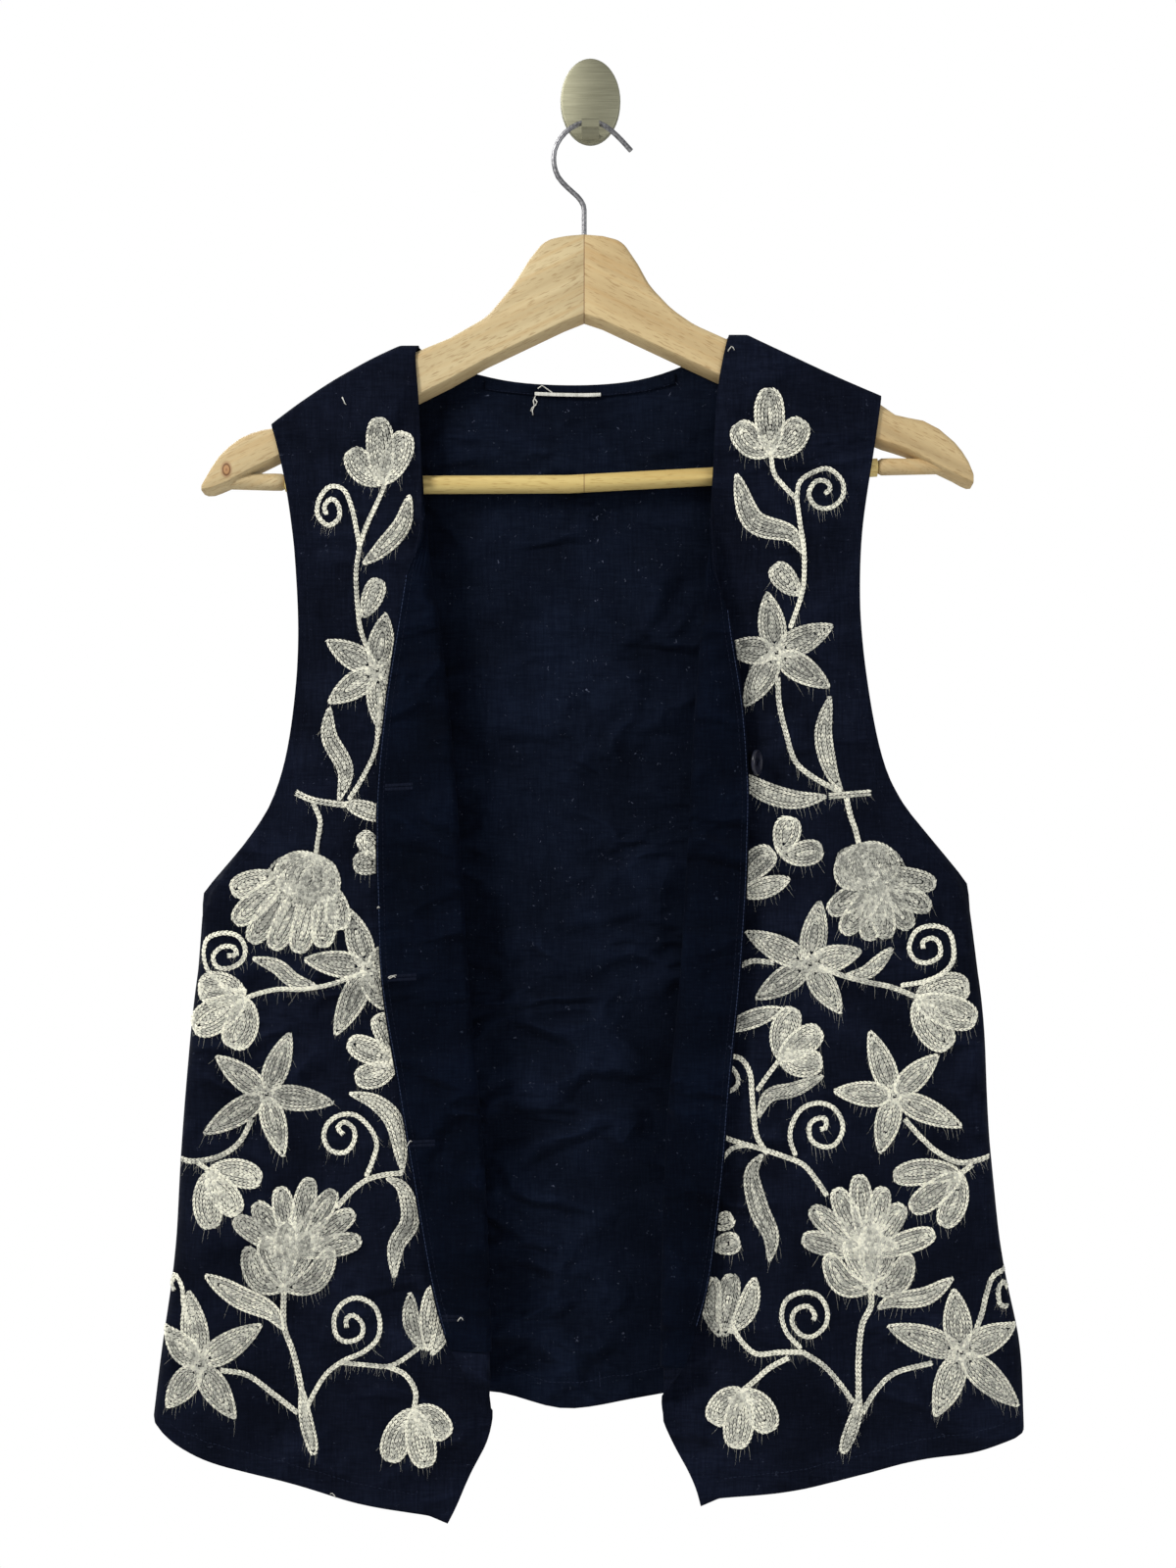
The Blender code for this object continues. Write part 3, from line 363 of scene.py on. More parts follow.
def cotton(name, dark, light, lint, crumpled):
    """Plain-weave cotton: two tones from its uneven threads, pale lint caught on it, and painted highlight on
    its ridges.
    """
    material, shader, add, place = new_material(name, 0.88, specular=0.03)
    shader.inputs["Sheen Weight"].default_value = 0.012
    shader.inputs["Sheen Roughness"].default_value = 0.5
    shader.inputs["Sheen Tint"].default_value = (0.35, 0.45, 0.80, 1.0)
    weave = weave_at(add, place, THREADS_PER_METRE)
    tone = colour_steps(add, weave["Slubs"], [(0.12, dark), (0.42, light)])
    # Painted highlight: the crumple ridges are painted lighter; the broad noise is the cloth's own uneven
    # tone
    mottle_and_ridge_highlight = maths(add, "MULTIPLY_ADD", weave["Crumple"], 0.30, noise_over(add, place, 26.0, 4.0))
    shade = ranged(add, mottle_and_ridge_highlight, 0.32, 0.92, 0.60, 1.50)
    # The thread tones, scaled by the mottle and by the painted highlight on the ridges
    worn = add("VectorMath", {0: tone, "Scale": shade}, operation="SCALE")
    finish(shader, add, blend(add, weave["Lint"], worn, (*lint, 1.0)),
           [(weave["Threads"], 0.55, 0.0002), (weave["Slubs"], 0.5, 0.0004),
            (weave["Crumple"], 0.75, crumpled)])
    return material


def dress(piece, material, node=None):
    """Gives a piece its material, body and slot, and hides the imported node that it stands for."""
    piece.data.materials.append(material)
    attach(piece, "root")
    if node:
        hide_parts(node)
    return piece


navy_cotton = cotton("navy_cotton", (0.0022, 0.0033, 0.0081), (0.0050, 0.0070, 0.0154),
                     (0.034, 0.040, 0.064), 0.0085)
fronts = {}
for side, cut, cut_area in (("right", (0.285, 0.700), 0.150), ("left", (0.275, 0.700), 0.145)):
    front = hung_cloth(side + "_front", side + "_front_cloth", FRONT_CREASES, SURFACE_WAVE)
    fronts[side] = dress(front, navy_cotton, side + "_front")


# The facings: a strip of the same cotton, plain side out, sewn inside each front edge. They show
# where the edges are turned back.
facing_cotton = cotton("facing_cotton", (0.0009, 0.0018, 0.0055), (0.0018, 0.0036, 0.0092),
                       (0.030, 0.038, 0.062), 0.0110)
facings = {}
for side, cut, cut_area in (("right", (0.080, 0.550), 0.034), ("left", (0.068, 0.565), 0.030)):
    facing = hung_cloth(side + "_front_facing", side + "_facing_cloth", FRONT_CREASES, SURFACE_WAVE)
    facings[side] = dress(facing, facing_cotton, side + "_front_facing")


# The back: one piece of the same cotton. Its plain inside shows between the fronts, crumpled low
# down, with a hem turned up 15 mm and stitched. The hem's middle sags a little.
SAG = 0.0072
SAG_X = -0.017
SAG_HALF = 0.031
SAG_TOP_Z = -0.690
SAG_TALL = 0.045
BACK_CREASES = [
    (-60, -430, -20, -520, 7, 1.2), (-52, -556, -16, -600, 5, 1.4), (-50, -590, -4, -640, 6, -1.2),
    (-46, -612, -26, -668, 3.5, 1.2), (-34, -636, 14, -622, 3.5, 1.1), (2, -690, 34, -704, 4, 1.2),
    (-50, -664, -18, -712, 4.5, -1.2), (20, -588, 40, -640, 4.5, 1.1), (-42, -500, -12, -548, 5, 1),
    (4, -498, 36, -528, 6, -1), (-18, -664, 34, -642, 4.5, 1.2), (-40, -690, 0, -676, 4.5, 1.1),
    (10, -676, 36, -668, 4, -1), (-46, -715, 20, -706, 5.5, 1), (0, -560, 30, -610, 6, 1),
    (-30, -620, 20, -600, 5, 1), (-60, -262, -30, -330, 8, 0.8), (30, -262, 50, -330, 8, 0.8),
    (-170, -470, -100, -560, 8, -1.4), (-140, -640, -90, -700, 8, -1.2), (170, -470, 110, -550, 8, -1.4),
    (150, -650, 100, -710, 8, -1.2),
]
BACK_CREASES += puckers([(-240, -765), (-100, -760), (-55, -748), (3, -755), (60, -746), (150, -762),
                         (240, -770)])
back_cotton = cotton("back_cotton", (0.0020, 0.0035, 0.0089), (0.0042, 0.0068, 0.0150),
                     (0.060, 0.070, 0.105), 0.0110)
back = hung_cloth("back", "back_cloth", BACK_CREASES, SURFACE_WAVE)
for vert in back.data.vertices:
    low_down = min(1.0, max(0.0, (SAG_TOP_Z - vert.co.z) / SAG_TALL))
    vert.co.z -= SAG * low_down * math.exp(-((vert.co.x - SAG_X) / SAG_HALF) ** 2)
dress(back, back_cotton, "back")


# The neck facing: a narrow band along the inside of the back's neck edge, stitched along its foot.
neck_facing = hung_cloth("back_neck_facing", "neck_facing_cloth", [], 0.0)
dress(neck_facing, back_cotton, "back_neck_facing")


# The vines: thick cream wool in chain stitch, worked row beside row through the cotton of both fronts.
# Each petal and leaf is filled with rows that follow its outline inwards, and a stem is two or more
# rows side by side. ROW, STITCH, WOOL_THICK and the motifs are in millimetres.
ROW = 1.9
STITCH = 2.5
WOOL_THICK = 0.9
LAYER = 0.0005
RIBS = 21
SPLIT_Z = (-0.480, -0.640)
INSIDE_Y = -0.016
STEEPEST = 0.42
DEEPEST_WALL = 0.006
# Shades of the wool run from grey to cream: of a motif, what a bud and an edge row add, and how far
# a row and a stitch may differ
MOTIF_SHADES = (0.16, 0.46)
BUD_SHADE = 0.14
EDGE_SHADE = 0.34
ROW_SHADE = 0.20
STITCH_SHADE = 0.32
# How far a stitch stands off the cloth and turns on it at random, and how often it has a loose fibre
LIFTS = (-0.00012, 0.00018)
TURNED = 0.13
FIBRES_HIGH = 0.45
FIBRES_MORE_LOW = 0.50
# How full a leaf or petal is at its foot and at its tip: the smaller the number, the fuller
FULLNESS = {"leaf": (0.75, 0.70), "round": (0.62, 0.34), "star": (0.45, 0.78), "bud": (0.50, 0.34),
            "cup": (0.50, 0.45), "dome": (0.42, 0.30)}
# Motifs of each front. A stem runs through its points. A leaf (pointed) or round leaf runs from its
# foot to its tip. A star, bud or bloom has its middle or foot first and then its tips. A bell has its
# stem's end, its two shoulders and then its tips. The number is a stem's width, or that of a petal
VINES = {
    "right": [
        ("stem", 2.2, [(-117, -225), (-121, -235), (-128, -250), (-132, -262)]),
        ("bud", 15.1, [(-119, -226), (-137, -207), (-121, -189), (-106, -197)]),
        ("stem", 2.2, [(-132, -262), (-136, -242), (-141, -230), (-149, -228), (-155, -235), (-156, -244),
            (-150, -250), (-144, -246), (-144, -239), (-148, -235), (-152, -239), (-151, -244)]),
        ("leaf", 11.2, [(-131, -273), (-120, -264), (-108, -250), (-103, -232)]),
        ("stem", 2.2, [(-132, -262), (-134, -278), (-133, -297), (-131, -311), (-126, -324)]),
        ("round", 12.9, [(-130, -303), (-125, -292), (-121, -281)]),
        ("star", 14.0, [(-122, -333), (-117, -300), (-151, -316), (-150, -352), (-118, -371), (-95, -337)]),
        ("stem", 2.2, [(-120, -345), (-121, -362), (-123, -379), (-130, -394), (-138, -407)]),
        ("leaf", 10.6, [(-144, -409), (-140, -390), (-149, -371), (-149, -353)]),
        ("stem", 3.9, [(-168, -403), (-159, -407), (-148, -409), (-140, -410)]),
        ("leaf", 11.2, [(-141, -409), (-131, -412), (-113, -418)]),
        ("stem", 2.2, [(-158, -409), (-154, -419), (-155, -428), (-157, -440)]),
        ("round", 12.3, [(-117, -441), (-125, -434), (-131, -426)]),
        ("round", 14.0, [(-115, -445), (-125, -443), (-135, -444)]),
        ("bell", 15.1, [(-157, -438), (-185, -450), (-145, -459), (-205, -459), (-203, -477), (-194, -488),
            (-181, -492), (-167, -494), (-153, -491), (-143, -481)]),
        ("stem", 2.2, [(-207, -496), (-202, -495), (-204, -491), (-210, -491), (-215, -496), (-213, -502),
            (-206, -503), (-199, -499), (-197, -492), (-201, -485), (-209, -483), (-218, -486), (-221, -494),
            (-219, -503), (-213, -510), (-206, -515), (-196, -516)]),
        ("leaf", 9.5, [(-194, -497), (-179, -502), (-169, -510), (-155, -514)]),
        ("stem", 2.2, [(-200, -522), (-191, -518), (-178, -515), (-164, -515), (-147, -512), (-129, -505)]),
        ("star", 14.0, [(-127, -503), (-138, -469), (-164, -498), (-146, -542), (-118, -527), (-104, -490)]),
        ("bud", 18.5, [(-197, -520), (-224, -515), (-227, -538), (-205, -548)]),
        ("star", 13.4, [(-185, -575), (-171, -539), (-146, -580), (-175, -611), (-221, -598), (-214, -553)]),
        ("stem", 2.8, [(-193, -589), (-200, -602), (-211, -610), (-224, -613), (-235, -613)]),
        ("stem", 2.2, [(-224, -614), (-218, -618)]),
        ("bud", 14.0, [(-111, -557), (-122, -530), (-138, -545), (-134, -566)]),
        ("leaf", 11.2, [(-139, -574), (-122, -580), (-111, -593), (-107, -620)]),
        ("stem", 2.2, [(-141, -598), (-144, -594), (-140, -591), (-135, -595), (-135, -602), (-140, -608),
            (-148, -607), (-152, -600), (-150, -592), (-143, -587), (-134, -587), (-126, -594), (-122, -603),
            (-124, -612), (-128, -622)]),
        ("stem", 2.8, [(-145, -640), (-137, -631), (-128, -624), (-118, -621), (-107, -620)]),
        ("bud", 15.1, [(-218, -619), (-188, -624), (-201, -643), (-216, -651)]),
        ("bloom", 14.6, [(-175, -686), (-203, -646), (-191, -637), (-177, -628), (-160, -623), (-146, -630),
            (-135, -642), (-131, -658), (-186, -657), (-173, -648), (-160, -654), (-196, -666),
            (-147, -667)]),
        ("leaf", 11.2, [(-118, -622), (-107, -629), (-103, -647), (-111, -662), (-112, -681)]),
        ("stem", 3.4, [(-175, -685), (-175, -707), (-170, -722), (-166, -738), (-163, -757)]),
        ("round", 8.4, [(-165, -741), (-163, -757), (-158, -781)]),
        ("leaf", 13.4, [(-175, -710), (-183, -699), (-201, -690), (-220, -677)]),
        ("star", 14.6, [(-223, -729), (-229, -686), (-187, -706), (-202, -760), (-242, -754), (-244, -708)]),
        ("stem", 2.8, [(-211, -732), (-196, -735), (-181, -746), (-167, -757)]),
        ("stem", 2.2, [(-238, -688), (-240, -684), (-237, -679), (-233, -685), (-232, -695), (-229, -706)]),
        ("stem", 2.2, [(-139, -708), (-139, -703), (-135, -701), (-130, -706), (-131, -713), (-139, -716),
            (-145, -712), (-146, -702), (-141, -694), (-132, -691), (-123, -696), (-120, -706), (-122, -715),
            (-130, -722), (-141, -727), (-151, -735), (-159, -748), (-163, -758)]),
        ("stem", 2.2, [(-143, -728), (-129, -729), (-116, -730), (-108, -727), (-98, -720)]),
        ("leaf", 10.1, [(-95, -722), (-102, -706), (-103, -688)]),
        ("round", 10.1, [(-93, -723), (-93, -704), (-90, -685)]),
        ("round", 10.1, [(-91, -725), (-84, -710), (-82, -695)]),
        ("stem", 2.8, [(-116, -730), (-106, -735), (-100, -745), (-101, -757)]),
        ("bud", 15.7, [(-101, -755), (-114, -784), (-94, -788), (-82, -771)]),
    ],
    "left": [
        ("stem", 2.2, [(103, -208), (105, -220), (111, -228), (118, -235)]),
        ("bud", 16.2, [(103, -209), (84, -192), (102, -172), (121, -190)]),
        ("stem", 2.2, [(118, -235), (120, -225), (129, -219), (137, -218), (144, -225), (144, -234),
            (137, -240), (129, -239), (125, -232), (129, -225), (135, -225), (137, -229), (134, -232)]),
        ("leaf", 13.4, [(122, -267), (114, -255), (93, -247), (83, -220)]),
        ("stem", 2.2, [(118, -235), (120, -250), (122, -264), (122, -281), (120, -292), (114, -309)]),
        ("round", 14.6, [(120, -290), (113, -283), (105, -273)]),
        ("star", 14.6, [(106, -323), (101, -288), (139, -307), (137, -343), (88, -354), (76, -320)]),
        ("stem", 2.8, [(107, -337), (108, -353), (112, -370), (117, -385), (127, -394), (143, -403)]),
        ("leaf", 10.6, [(144, -403), (137, -390), (133, -369), (137, -347)]),
        ("leaf", 12.3, [(136, -405), (117, -407), (99, -402), (80, -390)]),
        ("stem", 4.5, [(136, -405), (148, -404), (160, -403)]),
        ("stem", 2.8, [(146, -406), (148, -416), (151, -424), (153, -432)]),
        ("round", 16.2, [(108, -438), (111, -430), (114, -417)]),
        ("round", 15.1, [(108, -438), (120, -438), (132, -435)]),
        ("round", 16.8, [(86, -457), (92, -446), (104, -436)]),
        ("leaf", 12.3, [(84, -461), (97, -458), (114, -452)]),
        ("bell", 15.1, [(154, -432), (140, -450), (180, -447), (197, -455), (194, -469), (183, -480),
            (169, -486), (158, -487), (144, -483), (136, -471)]),
        ("stem", 2.2, [(190, -492), (190, -488), (195, -486), (199, -489), (199, -496), (192, -500),
            (185, -498), (182, -491), (186, -482), (195, -479), (204, -482), (207, -491), (206, -500),
            (199, -507), (189, -511), (177, -513)]),
        ("leaf", 9.0, [(145, -507), (158, -505), (173, -491)]),
        ("stem", 2.8, [(131, -502), (143, -507), (158, -511), (172, -514), (187, -520)]),
        ("star", 14.0, [(125, -501), (131, -464), (155, -493), (143, -529), (94, -521), (88, -482)]),
        ("stem", 2.8, [(105, -500), (93, -499), (85, -502)]),
        ("bud", 17.9, [(186, -521), (216, -514), (220, -533), (205, -548)]),
        ("leaf", 11.2, [(76, -539), (90, -533), (110, -526)]),
        ("bud", 15.1, [(108, -555), (116, -526), (131, -538), (132, -556)]),
        ("stem", 2.2, [(109, -554), (102, -563), (95, -573)]),
        ("stem", 2.8, [(78, -553), (86, -555), (91, -563), (92, -573), (93, -585), (95, -599), (101, -609)]),
        ("stem", 2.2, [(76, -575), (83, -571), (84, -565), (79, -559), (74, -562)]),
        ("leaf", 9.0, [(95, -590), (102, -576), (117, -572), (134, -564)]),
        ("star", 13.4, [(173, -576), (159, -538), (199, -552), (213, -594), (165, -609), (138, -573)]),
        ("stem", 2.2, [(131, -595), (134, -594), (134, -589), (129, -589), (125, -593), (126, -601),
            (133, -605), (140, -603), (144, -594), (140, -584), (131, -580), (121, -583), (115, -592),
            (114, -601), (117, -610)]),
        ("stem", 2.8, [(74, -599), (86, -603), (97, -606), (109, -610), (121, -615), (129, -624),
            (135, -633)]),
        ("stem", 2.2, [(75, -612), (81, -606), (89, -604)]),
        ("leaf", 11.8, [(99, -608), (92, -620), (96, -640), (103, -656), (102, -671)]),
        ("stem", 2.8, [(179, -589), (188, -599), (198, -608), (211, -614), (228, -611)]),
        ("stem", 2.8, [(218, -615), (210, -621)]),
        ("bud", 14.0, [(211, -620), (173, -622), (183, -641), (201, -650)]),
        ("bloom", 15.1, [(160, -686), (121, -657), (126, -640), (140, -629), (153, -621), (167, -628),
            (178, -638), (196, -654), (148, -657), (160, -650), (170, -657), (135, -670), (182, -670)]),
        ("stem", 3.4, [(160, -685), (160, -696), (155, -707), (153, -726), (153, -748), (151, -759)]),
        ("round", 8.4, [(154, -745), (151, -760), (144, -780)]),
        ("leaf", 11.2, [(163, -698), (172, -693), (191, -690), (207, -679)]),
        ("star", 15.1, [(211, -722), (207, -685), (244, -707), (245, -754), (196, -759), (169, -707)]),
        ("stem", 2.8, [(155, -757), (163, -744), (174, -734), (195, -728)]),
        ("stem", 2.2, [(239, -687), (236, -683), (233, -687), (234, -695), (239, -697)]),
        ("stem", 2.8, [(238, -676), (230, -679), (226, -689), (223, -701), (219, -711)]),
        ("round", 11.2, [(70, -651), (76, -648), (81, -645)]),
        ("round", 13.4, [(69, -662), (76, -661), (85, -659)]),
        ("leaf", 12.3, [(79, -712), (89, -698), (94, -679)]),
        ("round", 13.4, [(77, -714), (78, -695), (81, -678)]),
        ("round", 12.3, [(74, -714), (69, -698), (70, -680)]),
        ("stem", 2.8, [(81, -708), (87, -717), (95, -723), (108, -722), (121, -722)]),
        ("stem", 2.2, [(127, -704), (128, -701), (124, -696), (117, -698), (115, -705), (120, -712),
            (127, -713), (134, -707), (135, -698), (130, -690), (121, -688), (112, -692), (109, -701),
            (112, -711), (120, -720)]),
        ("stem", 2.8, [(121, -722), (133, -730), (142, -740), (150, -751)]),
        ("stem", 2.8, [(113, -725), (102, -731), (93, -739), (87, -744)]),
        ("bud", 16.2, [(87, -744), (70, -763), (83, -777), (102, -767)]),
    ],
}


def smooth_path(points, step=0.4):
    """A smooth curve through the points, as close places along it."""
    points = np.array(points, float)
    ends = np.vstack([2 * points[0] - points[1], points, 2 * points[-1] - points[-2]])
    path = []
    for n in range(len(points) - 1):
        before, start, end, after = ends[n:n + 4]
        t = np.linspace(0.0, 1.0, max(3, int(np.linalg.norm(end - start) / step)), endpoint=False)[:, None]
        path.append(0.5 * (2 * start + (end - before) * t
                           + (2 * before - 5 * start + 4 * end - after) * t ** 2
                           + (3 * start - before - 3 * end + after) * t ** 3))
    return np.vstack(path + [points[-1:]])


def beside(path, offset):
    """A path moved sideways by an offset, the same all along or one for each place."""
    along = np.gradient(path, axis=0)
    along /= np.linalg.norm(along, axis=1)[:, None] + 1e-9
    return path + np.column_stack([-along[:, 1], along[:, 0]]) * np.broadcast_to(offset, len(path))[:, None]


def stem(width, points):
    """Rows side by side along a line, as many as its width takes."""
    path = smooth_path(points)
    rows = max(2, round(width / ROW))
    return [(beside(path, (n - (rows - 1) / 2) * min(ROW, width / rows)), 1.0) for n in range(rows)]


def leaf(width, points, kind="leaf"):
    """Rows that follow the outline of a leaf inwards, with short ones where they leave a slit."""
    path = smooth_path(points)
    share = np.linspace(0.0, 1.0, len(path))
    foot, tip = FULLNESS[kind]
    outline = share ** foot * (1.0 - share) ** tip
    half = outline / outline.max() * width / 2
    rows = []
    inset = ROW / 2
    while (half > inset).sum() > 4:
        inside = half > inset
        there = beside(path, half - inset)[inside]
        back_again = beside(path, inset - half)[inside][::-1]
        rows.append((np.vstack([there, back_again, there[:1]]), 0.0 if rows else 1.0))
        slit = np.flatnonzero((half > inset + 0.35 * ROW) & (half <= inset + ROW))
        for run in np.split(slit, np.flatnonzero(np.diff(slit) > 1) + 1):
            if len(run) > 6:
                rows.append((path[run], 0.0))
        inset += ROW
    return rows


def petal(width, foot, tip, kind="round"):
    """A straight leaf from foot to tip, with a broad rounded tip."""
    return leaf(width, [foot, 0.5 * (foot + tip), tip], kind)


def star(width, points):
    """Five pointed petals round a small worked middle."""
    middle = np.array(points[0], float)
    rows = []
    for tip in points[1:]:
        reach = np.array(tip, float) - middle
        rows += leaf(width * 1.12, [middle + 0.06 * reach, middle + 0.5 * reach, tip], "star")
    turns = np.linspace(0.0, 2 * math.tau, 40)
    ways = np.column_stack([np.cos(turns), np.sin(turns)])
    rows.append((middle + (0.5 + 0.28 * turns)[:, None] * ways, 0.5))
    return rows


def bud(width, points):
    """Three rounded petals that open from one foot; the middle one is worked last."""
    foot, *tips = (np.array(point, float) for point in points)
    rows = []
    for tip in (tips[0], tips[2], tips[1]):
        lean = 0.5 * (tip - foot) + 0.10 * (tip - tips[1])
        rows += leaf(width * 1.10, [foot, foot + lean, tip], "bud")
    return rows


def bloom(width, points):
    """A full flower: seven petals behind, three in front, and two that cup them from below."""
    foot, *tips = (np.array(point, float) for point in points)
    heart = foot + 0.45 * (np.mean(tips[:7], axis=0) - foot)
    rows = []
    for tip in tips[:7]:
        rows += petal(width * 0.92, heart + 0.12 * (foot - heart), tip)
    for tip in tips[7:10]:
        rows += petal(width, foot, tip)
    for tip in tips[10:]:
        side = math.copysign(1.0, tip[0] - foot[0])
        rows += leaf(width, [foot, 0.5 * (foot + tip) + (side * 3.0, -4.5), tip + (0.0, 4.0)], "cup")
    return rows


def bell(width, points):
    """A hanging flower: seven scalloped tips below a dome whose rows fan out from its stem."""
    top, left, right, *tips = (np.array(point, float) for point in points)
    rows = []
    for n, tip in enumerate(tips):
        rim = left + (right - left) * min(1.0, n / (len(tips) - 1) + 0.05)
        rows += petal(width, rim + 0.12 * (top - rim), tip)
    low = 0.5 * (left + right) + (0.0, -8.0)
    rows += petal(0.96 * np.linalg.norm(right - left), top, low, "dome")
    starts = (0.0, 0.46, 0.24, 0.60)
    for n in range(RIBS):
        share = n / (RIBS - 1)
        swell = (share - 0.5) * 2.0
        rim = left + (right - left) * share + (0.0, -12.0 * math.sin(math.pi * share))
        middle = 0.5 * (top + rim) + (5.0 * swell, 3.6 * swell ** 2)
        rib = smooth_path([top, middle, rim])
        rows.append((rib[int(len(rib) * starts[n % 4]):], -0.8))
    return rows


MOTIFS = {"stem": stem, "leaf": leaf, "star": star, "bud": bud, "bloom": bloom, "bell": bell,
          "round": lambda width, points: leaf(width, points, "round")}


def lying_ball(bm):
    """A ball of a unit's size with its poles along x."""
    ball = bmesh.ops.create_uvsphere(bm, u_segments=5, v_segments=3, radius=0.5)["verts"]
    bmesh.ops.rotate(bm, verts=ball, cent=(0, 0, 0), matrix=Matrix.Rotation(math.radians(90.0), 3, "Y"))
    return ball


def shape_of(bm):
    """A bmesh's corners and triangles as arrays."""
    bmesh.ops.triangulate(bm, faces=bm.faces)
    bm.verts.index_update()
    corners = np.array([vert.co for vert in bm.verts])
    faces = np.array([[vert.index for vert in face.verts] for face in bm.faces])
    bm.free()
    return corners, faces


def chain_link():
    """One chain stitch a unit long, flat on the cloth: two plump strands that part and meet again."""
    bm = bmesh.new()
    for side in (-1, 1):
        lobe = lying_ball(bm)
        slant = Matrix.Rotation(math.radians(-14.0 * side), 3, "Z")
        bmesh.ops.scale(bm, verts=lobe, vec=(1.24, 0.47, 1.10))
        bmesh.ops.rotate(bm, verts=lobe, cent=(0, 0, 0), matrix=slant)
        bmesh.ops.translate(bm, verts=lobe, vec=(0.0, 0.20 * side, 0.28))
    return shape_of(bm)


def outer_face(tree, x, z):
    """Place and direction of a front's outer face at x and z in metres, or nothing past its edges."""
    towards = Vector((0.0, -1.0, 0.0))
    inner = tree.ray_cast(Vector((x, INSIDE_Y, z)), towards)[0]
    if inner is None:
        return None
    place, normal, _, depth = tree.ray_cast(inner + towards * 2e-5, towards)
    if place is None or depth > DEEPEST_WALL:
        return None
    return place, normal if normal.y < 0 else -normal


def stitch_places(face, row, spacing):
    """Place and directions along a row, across it and off the cloth of each of its stitches.

    Where the cloth turns away from the viewer, a stitch is drawn out so that its row stays closed.
    """
    found = []
    lengths = np.concatenate([[0.0], np.cumsum(np.linalg.norm(np.diff(row, axis=0), axis=1))])
    count = max(1, round(lengths[-1] / spacing))
    step = 0.4 * spacing
    for centre in (np.arange(count) + 0.5) * lengths[-1] / count:
        start, middle, end = (np.array([np.interp(at, lengths, row[:, k]) for k in (0, 1)])
                              for at in (centre - step, centre, centre + step))
        hit = face(middle[0] * 0.001, middle[1] * 0.001)
        if hit is None:
            continue
        place, off = hit
        flat = Vector((end[0] - start[0], 0.0, end[1] - start[1])).normalized()
        tilt = math.copysign(max(abs(off.y), STEEPEST), off.y)
        along, across = (way - Vector((0.0, way.dot(off) / tilt, 0.0))
                         for way in (flat, Vector((flat.z * off.y, 0.0, -flat.x * off.y)).normalized()))
        found.append((place, along, across, off))
    return found


def array_mesh(name, points, faces, shades):
    """One mesh of many like shapes: points of each, their shared triangles, and a shade for each."""
    loops = (faces[None] + np.arange(len(points))[:, None, None] * points.shape[1]).reshape(-1)
    mesh = bpy.data.meshes.new(name)
    mesh.vertices.add(points.shape[0] * points.shape[1])
    mesh.vertices.foreach_set("co", points.reshape(-1).astype(np.float32))
    mesh.loops.add(len(loops))
    mesh.loops.foreach_set("vertex_index", loops.astype(np.int32))
    mesh.polygons.add(len(loops) // 3)
    mesh.polygons.foreach_set("loop_start", np.arange(0, len(loops), 3, dtype=np.int32))
    mesh.update(calc_edges=True)
    mesh.shade_smooth()
    shade = mesh.attributes.new("shade", "FLOAT", "POINT")
    shade.data.foreach_set("value", np.repeat(np.asarray(shades, np.float32), points.shape[1]))
    piece = bpy.data.objects.new(name, mesh)
    bpy.context.scene.collection.objects.link(piece)
    return piece


def repeated(name, shape, places, length, width, height, shades):
    """One mesh of a shape repeated at many places, each with its direction along and off the cloth."""
    corners, faces = shape
    place, along, across, off = (np.array([row[k] for row in places]) for k in range(4))
    points = (place[:, None, :] + corners[None, :, 0, None] * length * along[:, None, :]
              + corners[None, :, 1, None] * width * across[:, None, :]
              + corners[None, :, 2, None] * height * off[:, None, :])
    return array_mesh(name, points, faces, shades)


cream_wool, shader, add, place = new_material("cream_wool", 0.92, specular=0.15)
shader.inputs["Sheen Weight"].default_value = 0.12
shader.inputs["Sheen Roughness"].default_value = 0.6
wool_shade = add("Attribute", {}, attribute_name="shade").outputs["Fac"]
fibres = noise_over(add, place, 2600.0, 3.0)
added_up = maths(add, "ADD", maths(add, "ADD", wool_shade, fibres), noise_over(add, place, 90.0))
finish(shader, add,
       colour_steps(add, maths(add, "MULTIPLY", added_up, 1.0 / 3.0),
                    [(0.24, (0.19, 0.193, 0.172)), (0.42, (0.46, 0.460, 0.402)),
                     (0.64, (0.88, 0.865, 0.735))]),
       [(fibres, 0.6, 0.0003)])

